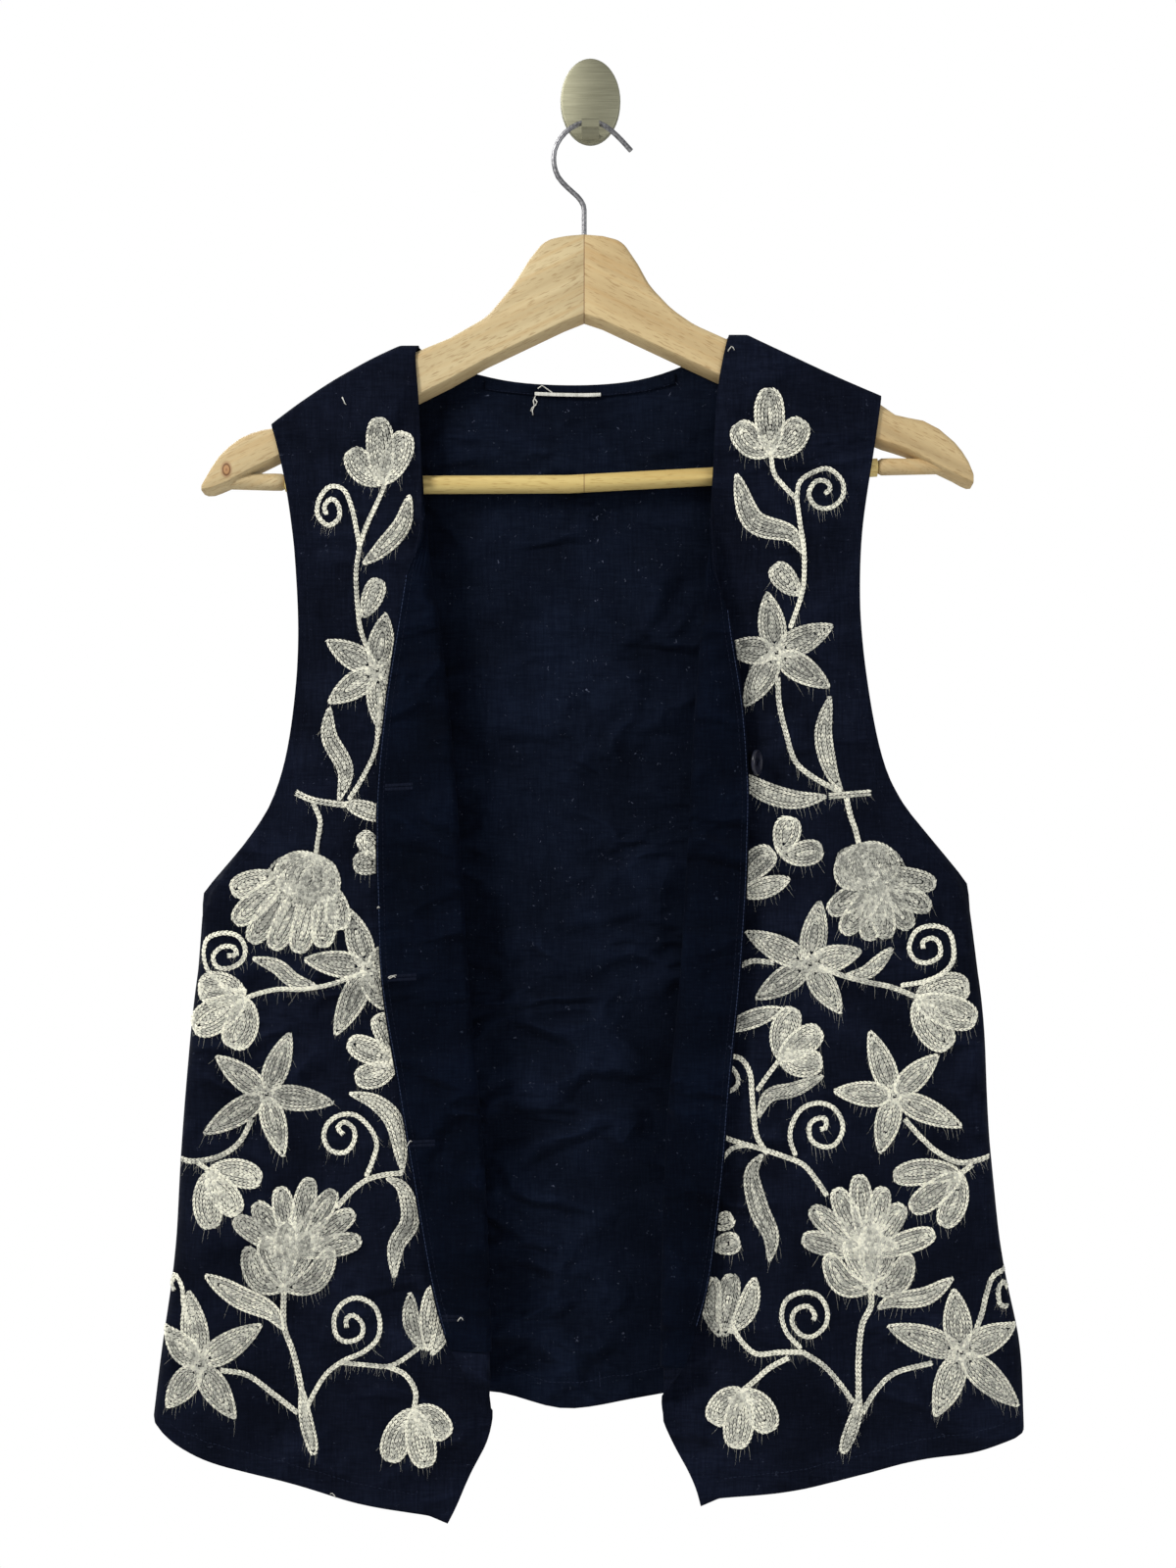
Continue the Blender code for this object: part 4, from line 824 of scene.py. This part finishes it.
dice = random.Random(7)
link_shape = chain_link()
trees = {}
fibre_roots = []
for side, front in fronts.items():
    trees[side] = BVHTree.FromObject(front, bpy.context.evaluated_depsgraph_get())
    worked = [([], []) for band in range(len(SPLIT_Z) + 1)]
    for kind, width, points in VINES[side]:
        motif_shade = dice.uniform(*MOTIF_SHADES) + (BUD_SHADE if kind == "bud" else 0.0)
        rows = MOTIFS[kind](width, points)
        edge_places = []
        for n, (row, tone) in enumerate(rows):
            row_shade = motif_shade + EDGE_SHADE * tone + dice.uniform(-ROW_SHADE, ROW_SHADE)
            layer = LAYER * n / len(rows)
            spots = stitch_places(lambda x, z: outer_face(trees[side], x, z), row, STITCH)
            for place, along, across, off in spots:
                places, shades = worked[sum(place.z < z for z in SPLIT_Z)]
                lift = layer + dice.uniform(*LIFTS)
                turn = Matrix.Rotation(dice.uniform(-TURNED, TURNED), 3, off)
                places.append((place + off * lift, turn @ along, turn @ across, off))
                shades.append(row_shade + dice.uniform(-STITCH_SHADE, STITCH_SHADE))
                if tone == 1.0:
                    edge_places.append(place)
        heights = [place.z for place in edge_places]
        low, high = min(heights), max(heights)
        middle = sum(edge_places, Vector()) / len(edge_places)
        for place in edge_places:
            lowness = 1.0 - (place.z - low) / (high - low + 0.001)
            if dice.random() < FIBRES_HIGH + FIBRES_MORE_LOW * lowness ** 2:
                fibre_roots.append((place, (place - middle).normalized()))
    for band, (places, shades) in enumerate(worked, 1):
        dress(repeated("%s_vines_%d" % (side, band), link_shape, places, STITCH * 0.001, ROW * 0.001,
                       WOOL_THICK * 0.001, shades), cream_wool)


# Loose wool fibres: single short hairs that have worked out of the outer rows of the motifs. They
# point down and outward, most of them from the lower edges, and the stitches hold them.
FIBRE_POINTS = 4
FIBRE_RADIUS = 0.000038
FIBRE_TAPER = 0.6
FIBRE_LENGTHS = (0.0030, 0.0090)
FIBRE_STANDS = (0.0003, 0.0012)
FIBRE_SHADES = (1.0, 1.6)
FIBRE_LIFT = 0.0006


def strands(name, paths, radius, taper, shades):
    """One mesh of thin three-sided strands that follow paths with equally many places each."""
    paths = np.array(paths)
    count = paths.shape[1]
    along = np.gradient(paths, axis=1)
    along /= np.linalg.norm(along, axis=2)[:, :, None] + 1e-12
    side_way = np.cross(along, (0.12, -0.98, 0.16))
    side_way /= np.linalg.norm(side_way, axis=2)[:, :, None] + 1e-12
    up_way = np.cross(side_way, along)
    thickness = radius * (1.0 - taper * np.linspace(0.0, 1.0, count))[None, :, None]
    corners = [paths + thickness * (math.cos(turn) * side_way + math.sin(turn) * up_way)
               for turn in (0.0, math.tau / 3, 2 * math.tau / 3)]
    points = np.stack(corners, axis=2).reshape(len(paths), count * 3, 3)
    faces = []
    for n in range(count - 1):
        for k in range(3):
            a, b = 3 * n + k, 3 * n + (k + 1) % 3
            faces += [(a, b, b + 3), (a, b + 3, a + 3)]
    faces += [(0, 2, 1), (3 * count - 3, 3 * count - 2, 3 * count - 1)]
    return array_mesh(name, points, np.array(faces), shades)


fibre_paths = []
for place, outward in fibre_roots:
    length = dice.uniform(*FIBRE_LENGTHS)
    lean = 0.22 * outward.x + dice.gauss(0.0, 0.20)
    curl = dice.gauss(0.0, 0.03)
    drop = 0.70 - 0.30 * outward.z + dice.gauss(0.0, 0.18)
    stand = dice.uniform(*FIBRE_STANDS)
    path = []
    for n in range(FIBRE_POINTS):
        share = n / (FIBRE_POINTS - 1)
        path.append((place.x + length * (lean * share + curl * math.sin(math.pi * share)),
                     place.y - FIBRE_LIFT - stand * math.sin(2.4 * share),
                     place.z - length * drop * share))
    fibre_paths.append(path)
fibre_shades = [dice.uniform(*FIBRE_SHADES) for path in fibre_paths]
dress(strands("wool_fibres", fibre_paths, FIBRE_RADIUS, FIBRE_TAPER, fibre_shades), cream_wool)


# The sewing: navy thread in lockstitch rows along the hems, armholes, neck and turned-back edges,
# and worked buttonholes on the right front's edge. A light blue row along both front edges is a
# painted highlight on their rounded folds.
# Sizes in this section's tables are millimetres.
THREAD_STITCH = 2.7
FINE_STITCH = 2.2
THREAD_SIZE = (0.0022, 0.00048, 0.00042)
FRONT_HEM = 12.0
BACK_HEM = 15.0
ARMHOLE_TURNING = 6.0
FACING_ROW = 4.0
# How near an edge its closest row runs: the neck facing's foot row, and the painted highlight row on the
# front edges
NEAR_EDGE = 0.9
ARMHOLES = {
    "right": [(-182, -200), (-177, -212), (-172, -241), (-169, -270), (-167, -305), (-167, -326),
              (-169, -353), (-173, -378), (-178, -400), (-187, -420), (-203, -438), (-219, -453)],
    "left": [(166, -184), (164, -198), (158, -237), (154, -262), (154, -287), (155, -316),
             (159, -343), (163, -367), (170, -396), (181, -415), (197, -432), (214, -451)],
}
FRONT_EDGES = {
    "right": [(-97.5, -240), (-103, -264), (-110.3, -309), (-117.0, -353), (-121.5, -398), (-122.1, -432),
              (-121.5, -461), (-119.3, -510), (-110.3, -566), (-101.3, -622), (-91.8, -678), (-83.5, -712)],
    "left": [(71.3, -240), (74.8, -264), (80.1, -309), (86.8, -353), (90.1, -398), (89.6, -432),
             (88.5, -461), (85.1, -510), (79.5, -566), (75.0, -622), (68.1, -678), (61.0, -706)],
}
BACK_NECK_ROW = [(-88, -161), (-70, -168), (-46, -171.5), (-29, -173), (-3, -173.5), (21, -172),
                 (43, -168), (62, -161), (71, -155)]
# Buttonholes: x of the outer end, z
BUTTONHOLES = [(-117.0, -400.0), (-115.0, -508.5), (-104.5, -603.0), (-88.0, -702.5)]
BUTTONHOLE_LONG = 16.0
BUTTONHOLE_STITCH = 0.62


def dash():
    """One stitch of thread a unit long: a plump bar."""
    bm = bmesh.new()
    lying_ball(bm)
    return shape_of(bm)


def seen_face(tree, x, z, way):
    """Place and direction of the face met at x and z from the front (way 1) or from behind (way -1)."""
    place, normal, _, _ = tree.ray_cast(Vector((x, -0.3 * way, z)), Vector((0.0, way, 0.0)))
    if place is None:
        return None
    return place, normal if normal.y * way < 0 else -normal


def above_hem(piece, start, end, above):
    """A row a little above the lowest points of a piece."""
    corners = np.array([vert.co for vert in piece.data.vertices]) * 1000.0
    row = []
    for x in np.arange(start, end, 7.0):
        near = np.abs(corners[:, 0] - x) < 4.5
        row.append((x, corners[near, 2].min() + above))
    return smooth_path(row)


for name, piece in (("back", back), ("neck", neck_facing), ("right_facing", facings["right"]),
                    ("left_facing", facings["left"])):
    trees[name] = BVHTree.FromObject(piece, bpy.context.evaluated_depsgraph_get())
# Rows: cloth, side it is seen from, path, spacing, shade from navy to the light blue of painted highlight
seams = [
    ("right", 1, above_hem(fronts["right"], -240.0, -96.0, FRONT_HEM), THREAD_STITCH, 0.55),
    ("left", 1, above_hem(fronts["left"], 76.0, 240.0, FRONT_HEM), THREAD_STITCH, 0.55),
    ("back", 1, above_hem(back, -50.0, 46.0, BACK_HEM), THREAD_STITCH, 0.6),
    ("back", -1, above_hem(back, -236.0, 238.0, BACK_HEM), THREAD_STITCH, 0.3),
    ("back", 1, smooth_path([(5.3, -739.0), (5.6, -748.0)]), 2.0, 0.6),
    ("neck", 1, above_hem(neck_facing, -59.0, 47.0, NEAR_EDGE), FINE_STITCH, 0.4),
    ("back", -1, smooth_path(BACK_NECK_ROW), THREAD_STITCH, 0.3),
]
# Each front edge's nearest row is light blue thread, a painted highlight on the rounded fold
for side, inward in (("right", 1.0), ("left", -1.0)):
    hole = smooth_path(ARMHOLES[side])
    edge = smooth_path(FRONT_EDGES[side])
    turning = beside(hole, ARMHOLE_TURNING * inward)
    seams += [(side, 1, turning, THREAD_STITCH, 0.3), ("back", -1, turning, THREAD_STITCH, 0.3),
              (side + "_facing", 1, beside(edge, FACING_ROW * inward), THREAD_STITCH, 0.35),
              (side + "_facing", 1, beside(edge, NEAR_EDGE * inward), FINE_STITCH, 0.95)]
sewn, sewn_shades = [], []
for cloth, way, row, spacing, shade in seams:
    for spot in stitch_places(lambda x, z: seen_face(trees[cloth], x, z, way), row, spacing):
        sewn.append(spot)
        sewn_shades.append(shade + dice.uniform(-0.3, 0.08) * shade)
for x, z in BUTTONHOLES:
    for slit_side in (-1.0, 1.0):
        start = z + 1.1 * slit_side
        bar = smooth_path([(x, start), (x + BUTTONHOLE_LONG, start + 0.8)])
        for place, along, across, off in stitch_places(lambda x, z: seen_face(trees["right_facing"], x, z, 1),
                                                       bar, BUTTONHOLE_STITCH):
            sewn.append((place, across, -along, off))
            sewn_shades.append(0.42 + dice.uniform(-0.10, 0.10))
sewing_thread, shader, add, place = new_material("sewing_thread", 0.7, specular=0.05)
twist = noise_over(add, place, 3000.0)
thread_shade = add("Attribute", {}, attribute_name="shade").outputs["Fac"]
# The shade runs from dark navy thread up to light blue, the colour of the painted edge highlight
finish(shader, add,
       colour_steps(add, maths(add, "MULTIPLY_ADD", twist, 0.25, thread_shade),
                    [(0.35, (0.0040, 0.0055, 0.0130)), (0.65, (0.0100, 0.0135, 0.0280)),
                     (1.0, (0.030, 0.042, 0.085))]),
       [(twist, 0.4, 0.0002)])
dress(repeated("sewing", dash(), sewn, *THREAD_SIZE, sewn_shades), sewing_thread)


# The cut-off label: a strip of white woven tape caught under the neck facing, with its cut threads,
# and the bits of white thread left at the buttonholes and on the cloth.
TAPE_THREADS_PER_METRE = 1800.0
BIT_RADIUS = 0.00042
BIT_TAPER = 0.3
BIT_LIFT = 0.0005
# Bits of thread: cloth that they lie on, then the x and z of their places in millimetres
THREAD_BITS = [
    ("neck", [(-30.5, -169.4), (-28.0, -167.6), (-24.5, -170.0), (-21.0, -172.6), (-17.5, -173.4)]),
    ("back", [(-31.8, -173.6), (-33.0, -176.4), (-32.4, -179.2), (-33.6, -182.0), (-33.2, -184.6)]),
    ("back", [(-32.6, -174.6), (-30.8, -176.8), (-31.6, -178.8), (-33.8, -180.4), (-34.4, -182.4)]),
    ("right_facing",
     [(-115.2, -508.2), (-114.2, -507.4), (-113.0, -507.0), (-111.8, -507.4), (-110.8, -508.0)]),
    ("right_facing",
     [(-114.6, -508.6), (-113.6, -508.2), (-112.6, -507.6), (-111.6, -506.8), (-110.4, -506.6)]),
    ("right_facing",
     [(-104.6, -604.4), (-103.8, -602.8), (-103.0, -601.4), (-102.4, -600.8), (-101.6, -601.4)]),
    ("right_facing", [(-75.6, -703.4), (-74.8, -702.2), (-73.8, -701.0), (-73.0, -701.4), (-72.4, -702.6)]),
    ("right_facing",
     [(-121.4, -468.8), (-121.0, -468.0), (-120.6, -467.6), (-120.2, -468.0), (-120.0, -468.6)]),
    ("right", [(-142.0, -176.8), (-141.4, -178.0), (-140.8, -179.2), (-140.4, -180.4), (-139.6, -181.2)]),
    ("left", [(78.6, -150.4), (79.6, -148.8), (80.6, -147.6), (81.6, -148.2), (82.4, -149.8)]),
    ("right", [(-148.4, -803.0), (-147.4, -802.6), (-146.6, -803.2), (-145.8, -804.2), (-145.4, -805.2)]),
]
label_cotton, shader, add, place = new_material("label_cotton", 0.85, specular=0.2)
label_weave = weave_at(add, place, TAPE_THREADS_PER_METRE)
finish(shader, add,
       colour_steps(add, label_weave["Slubs"], [(0.12, (0.42, 0.42, 0.38)), (0.42, (0.70, 0.69, 0.64))]),
       [(label_weave["Threads"], 0.6, 0.0002)])
dress(hung_cloth("label_stub", "label_tape", [], 0.0), label_cotton, "label_stub")
bit_paths = []
for cloth, places in THREAD_BITS:
    hits = [seen_face(trees[cloth], x * 0.001, z * 0.001, 1) for x, z in places]
    nearest = min(hit[0].y for hit in hits if hit)
    bit_paths.append([(x * 0.001, (hit[0].y if hit else nearest) - BIT_LIFT, z * 0.001)
                      for hit, (x, z) in zip(hits, places)])
dress(strands("white_thread_bits", bit_paths, BIT_RADIUS, BIT_TAPER, [0.5] * len(bit_paths)),
      label_cotton)


# The buttons: four turned navy plastic buttons on the left front's edge, each with a raised rim, a
# sunk middle and four holes, sewn on with crossed thread. The top one has tipped on its thread.
BUTTON_DEEP = 2.3
CROSSED_THREAD = (0.0046, 0.00042, 0.0009)
THREADS_APART = 0.00032
HOLE_RADIUS = 0.75
HOLE_APART = 1.5
# Half outline of a button from its middle at the back to its middle at the front: radius, depth
BUTTON_OUTLINE = [(0.0, 0.0), (6.6, 0.0), (7.2, 0.35), (7.5, 0.9), (7.4, 1.7), (6.9, 2.2), (6.4, 2.3),
                  (5.9, 2.1), (5.2, 1.6), (4.4, 1.35), (0.0, 1.3)]
# Name, and the middle of the button in x, y and z, and its turn about the upright in degrees
BUTTONS = [("button_1", (94.6, -38.0, -385.8), 66.0), ("button_2", (74.9, -32.35, -489.0), 0.0),
           ("button_3", (65.7, -31.85, -592.5), 0.0), ("button_4", (57.0, -32.05, -696.5), 0.0)]
button_plastic, shader, add, place = new_material("button_plastic", 0.32, specular=0.35)
cloud = noise_over(add, place, 260.0, 3.0)
finish(shader, add, colour_steps(add, cloud, [(0.35, (0.006, 0.007, 0.014)), (0.68, (0.014, 0.015, 0.028))]),
       [(cloud, 0.15, 0.0002)])


def button_disc(name, place, turn):
    """A turned disc with four holes, its face towards the viewer before it is turned."""
    bm = bmesh.new()
    outline = [bm.verts.new((radius * 0.001, (BUTTON_DEEP / 2 - depth) * 0.001, 0.0))
               for radius, depth in BUTTON_OUTLINE]
    edges = [bm.edges.new(pair) for pair in zip(outline, outline[1:])]
    bmesh.ops.spin(bm, geom=outline + edges, cent=(0, 0, 0), axis=(0, 1, 0), dvec=(0, 0, 0),
                   angle=math.tau, steps=32, use_merge=True, use_duplicate=False)
    bmesh.ops.remove_doubles(bm, verts=bm.verts, dist=1e-6)
    bmesh.ops.recalc_face_normals(bm, faces=bm.faces)
    disc = set_mesh(name + "_disc", bm)
    holes_bm = bmesh.new()
    for x in (-1, 1):
        for z in (-1, 1):
            where = Matrix.Translation((x * HOLE_APART * 0.001, 0.0, z * HOLE_APART * 0.001))
            bmesh.ops.create_cone(holes_bm, cap_ends=True, segments=12, radius1=HOLE_RADIUS * 0.001,
                                  radius2=HOLE_RADIUS * 0.001, depth=0.006,
                                  matrix=where @ Matrix.Rotation(math.radians(90.0), 4, "X"))
    holes = set_mesh(name + "_holes", holes_bm)
    drilling = disc.modifiers.new("drilling", "BOOLEAN")
    drilling.object = holes
    drilling.solver = "EXACT"
    bm = bmesh.new()
    bm.from_mesh(disc.evaluated_get(bpy.context.evaluated_depsgraph_get()).to_mesh())
    bpy.data.objects.remove(disc)
    bpy.data.objects.remove(holes)
    where = Matrix.Translation(Vector(place) * 0.001) @ Matrix.Rotation(math.radians(turn), 4, "Z")
    bmesh.ops.transform(bm, matrix=where, verts=bm.verts)
    button = set_mesh(name + "_turned", bm)
    button.data.set_sharp_from_angle(angle=math.radians(38.0))
    return button, where


button_thread = []
for name, place, turn in BUTTONS:
    button, where = button_disc(name, place, turn)
    dress(button, button_plastic, name)
    turned = where.to_3x3()
    for n in range(-1, 2):
        for slope in (-1, 1):
            along = turned @ Vector((1.0, 0.0, float(slope))).normalized()
            across = turned @ Vector((-slope, 0.0, 1.0)).normalized()
            middle = where @ Vector((0.0, -0.0004 - 0.0003 * (slope + 1), 0.0))
            off = turned @ Vector((0.0, -1.0, 0.0))
            button_thread.append((middle + across * n * THREADS_APART, along, across, off))
crossed_shades = [dice.uniform(0.25, 0.45) for spot in button_thread]
dress(repeated("button_sewing", dash(), button_thread, *CROSSED_THREAD, crossed_shades),
      sewing_thread)


# The hanger: two arms sawn from a beech board with rounded upper edges, glued end to end in the
# middle, and a turned bar whose tenons stand in holes in the arms' stubs. Waxed, with its grain
# along each arm, a thin dark glue line and one small knot near the right arm's tip.
GLUE_X = -0.0036
GLUE_HALF = 0.00022
CROWN_BORE = 0.012
CROWN_HALF = 0.070
EDGE_ROUND = 0.0006
CROWN_ROUND = 0.0045
KNOT = (-0.2086, -0.0265, -0.2178)


def smooth_copy(node, name, sharp, rounding=0.0, crown=0.0):
    """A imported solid's form joined up, with its sharp edges rounded and the rest shaded smooth.

    Where a crown rounding is given, the corners of the outline near the middle are rounded with it.
    """
    bm = bmesh.new()
    bm.from_mesh(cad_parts[node].data)
    bmesh.ops.remove_doubles(bm, verts=bm.verts, dist=1e-6)
    bmesh.ops.recalc_face_normals(bm, faces=bm.faces)
    for vert in bm.verts:
        if abs(vert.co.x - GLUE_X) < 0.0003:
            vert.co.x = GLUE_X
    bmesh.ops.dissolve_limit(bm, angle_limit=math.radians(1.5), verts=bm.verts, edges=bm.edges)
    if crown:
        corners = [edge for edge in bm.edges
                   if math.radians(9.0) < edge.calc_face_angle(0.0) < math.radians(60.0)
                   and abs(edge.verts[0].co.x - edge.verts[1].co.x) < 0.1 * edge.calc_length()
                   and CROWN_BORE < abs(edge.verts[0].co.x) < CROWN_HALF]
        bmesh.ops.bevel(bm, geom=corners, offset=crown, segments=4, profile=0.5, affect="EDGES", material=-1,
                        clamp_overlap=False)
    edges = [edge for edge in bm.edges if edge.calc_face_angle(0.0) > math.radians(sharp)]
    if rounding:
        bmesh.ops.bevel(bm, geom=edges, offset=rounding, segments=2, profile=0.5, affect="EDGES", material=-1,
                        clamp_overlap=True)
    piece = set_mesh(name, bm)
    piece.data.set_sharp_from_angle(angle=math.radians(sharp))
    return piece


# Beech's grain at a place that is level with the wood: its broad bands, fine dark flecks and pinkish
# streaks, and the ridges that the saw and the wax leave
grain_group, add, grain_in = shared_effect("beech_grain", [("Level Place", "Vector")],
                                           ("Bands", "Flecks", "Streaks", "Ridges"))
level = grain_in["Level Place"]
put_out(grain_group, {
    "Bands": drawn_noise(add, level, (5.0, 60.0, 95.0), 4.0),
    "Flecks": ranged(add, drawn_noise(add, level, (150.0, 1500.0, 1500.0), 1.0), 0.57, 0.68, 0.0, 0.60),
    "Streaks": ranged(add, drawn_noise(add, level, (9.0, 40.0, 260.0), 2.0), 0.48, 0.70, 0.0, 0.62),
    "Ridges": drawn_noise(add, level, (60.0, 700.0, 700.0), 2.0)})


def tinted(colour, *shares):
    """A colour with each of its parts taken down to a share."""
    return (*(part * share for part, share in zip(colour, shares)), 1.0)


def beech(name, pale, dark, lean):
    """Waxed beech whose grain runs along a line that leans in x and z."""
    material, shader, add, place = new_material(name, 0.58, specular=0.16)
    shift = 0.7 + lean * 0.01
    level = add("Mapping", {"Vector": place, "Location": (shift, 0.0, shift),
                            "Rotation": (0.0, math.radians(lean), 0.0)})
    grain = add("Group", {"Level Place": level}, node_tree=grain_group).outputs
    bands = colour_steps(add, grain["Bands"], [(0.30, dark), (0.66, pale)])
    flecked = blend(add, grain["Flecks"], bands, tinted(dark, 0.72, 0.62, 0.52))
    streaked = blend(add, grain["Streaks"], flecked, tinted(pale, 0.86, 0.74, 0.62))
    split_place = add("SeparateXYZ", {"Vector": place}).outputs
    glue = maths(add, "COMPARE", split_place["X"], GLUE_X, GLUE_HALF)
    glued = blend(add, glue, streaked, (0.16, 0.085, 0.040, 1.0))
    from_knot = add("VectorMath", {0: place, 1: KNOT}, operation="SUBTRACT")
    drawn_knot = add("Mapping", {"Vector": from_knot, "Scale": (400.0, 90.0, 260.0),
                                 "Rotation": (0.0, math.radians(-20.0), 0.0)})
    knot_far = add("VectorMath", {0: drawn_knot}, operation="LENGTH").outputs["Value"]
    knot = colour_steps(add, knot_far,
                        [(0.0, (0.20, 0.090, 0.040)), (0.35, (0.36, 0.20, 0.095)), (0.62, (0.33, 0.18, 0.08)),
                         (0.80, (0.085, 0.032, 0.013)), (1.0, (0.30, 0.19, 0.10))])
    finish(shader, add, blend(add, ranged(add, knot_far, 1.0, 1.5, 1.0, 0.0), glued, knot),
           [(grain["Ridges"], 0.20, 0.0003)])
    return material


# Piece, edge and crown rounding, pale and dark wood, lean of the grain in degrees
for name, rounding, crown, pale, dark, lean in (
        ("right_arm", EDGE_ROUND, CROWN_ROUND, (0.505, 0.410, 0.238), (0.360, 0.272, 0.144), 26.0),
        ("left_arm", EDGE_ROUND, CROWN_ROUND, (0.495, 0.380, 0.203), (0.366, 0.262, 0.130), -26.0),
        ("bar", 0.0, 0.0, (0.600, 0.480, 0.200), (0.440, 0.330, 0.122), -1.6)):
    node = "hanger_" + name
    dress(smooth_copy(node, node + "_wood", 35.0, rounding, crown), beech("beech_" + name, pale, dark, lean),
          node)


# The hanger's hook: thin drawn steel wire, dulled by handling, bent cold and pressed into the crown.
bright_wire, shader, add, place = new_material("bright_wire", 0.40, 1.0)
drawing_marks = noise_over(add, place, 700.0, 3.0)
finish(shader, add,
       colour_steps(add, drawing_marks, [(0.35, (0.13, 0.13, 0.14)), (0.65, (0.30, 0.30, 0.31))]))
worn = ranged(add, drawing_marks, 0.0, 1.0, 0.34, 0.50)
bright_wire.node_tree.links.new(worn.outputs[0], shader.inputs["Roughness"])
dress(smooth_copy("hanger_hook", "hook_wire", 60.0), bright_wire, "hanger_hook")


# The wall hook: an oval plate of brushed steel with a flat prong that turns up at its end, fastened
# to the wall from behind.
brushed_steel, shader, add, place = new_material("brushed_steel", 0.58, 1.0)
brush_lines = drawn_noise(add, place, (60.0, 900.0, 2600.0), 3.0)
finish(shader, add,
       colour_steps(add, brush_lines, [(0.3, (0.205, 0.200, 0.140)), (0.7, (0.300, 0.294, 0.212))]),
       [(brush_lines, 0.35, 0.0002)])
dress(smooth_copy("wall_hook", "wall_hook_plate", 32.0), brushed_steel, "wall_hook")
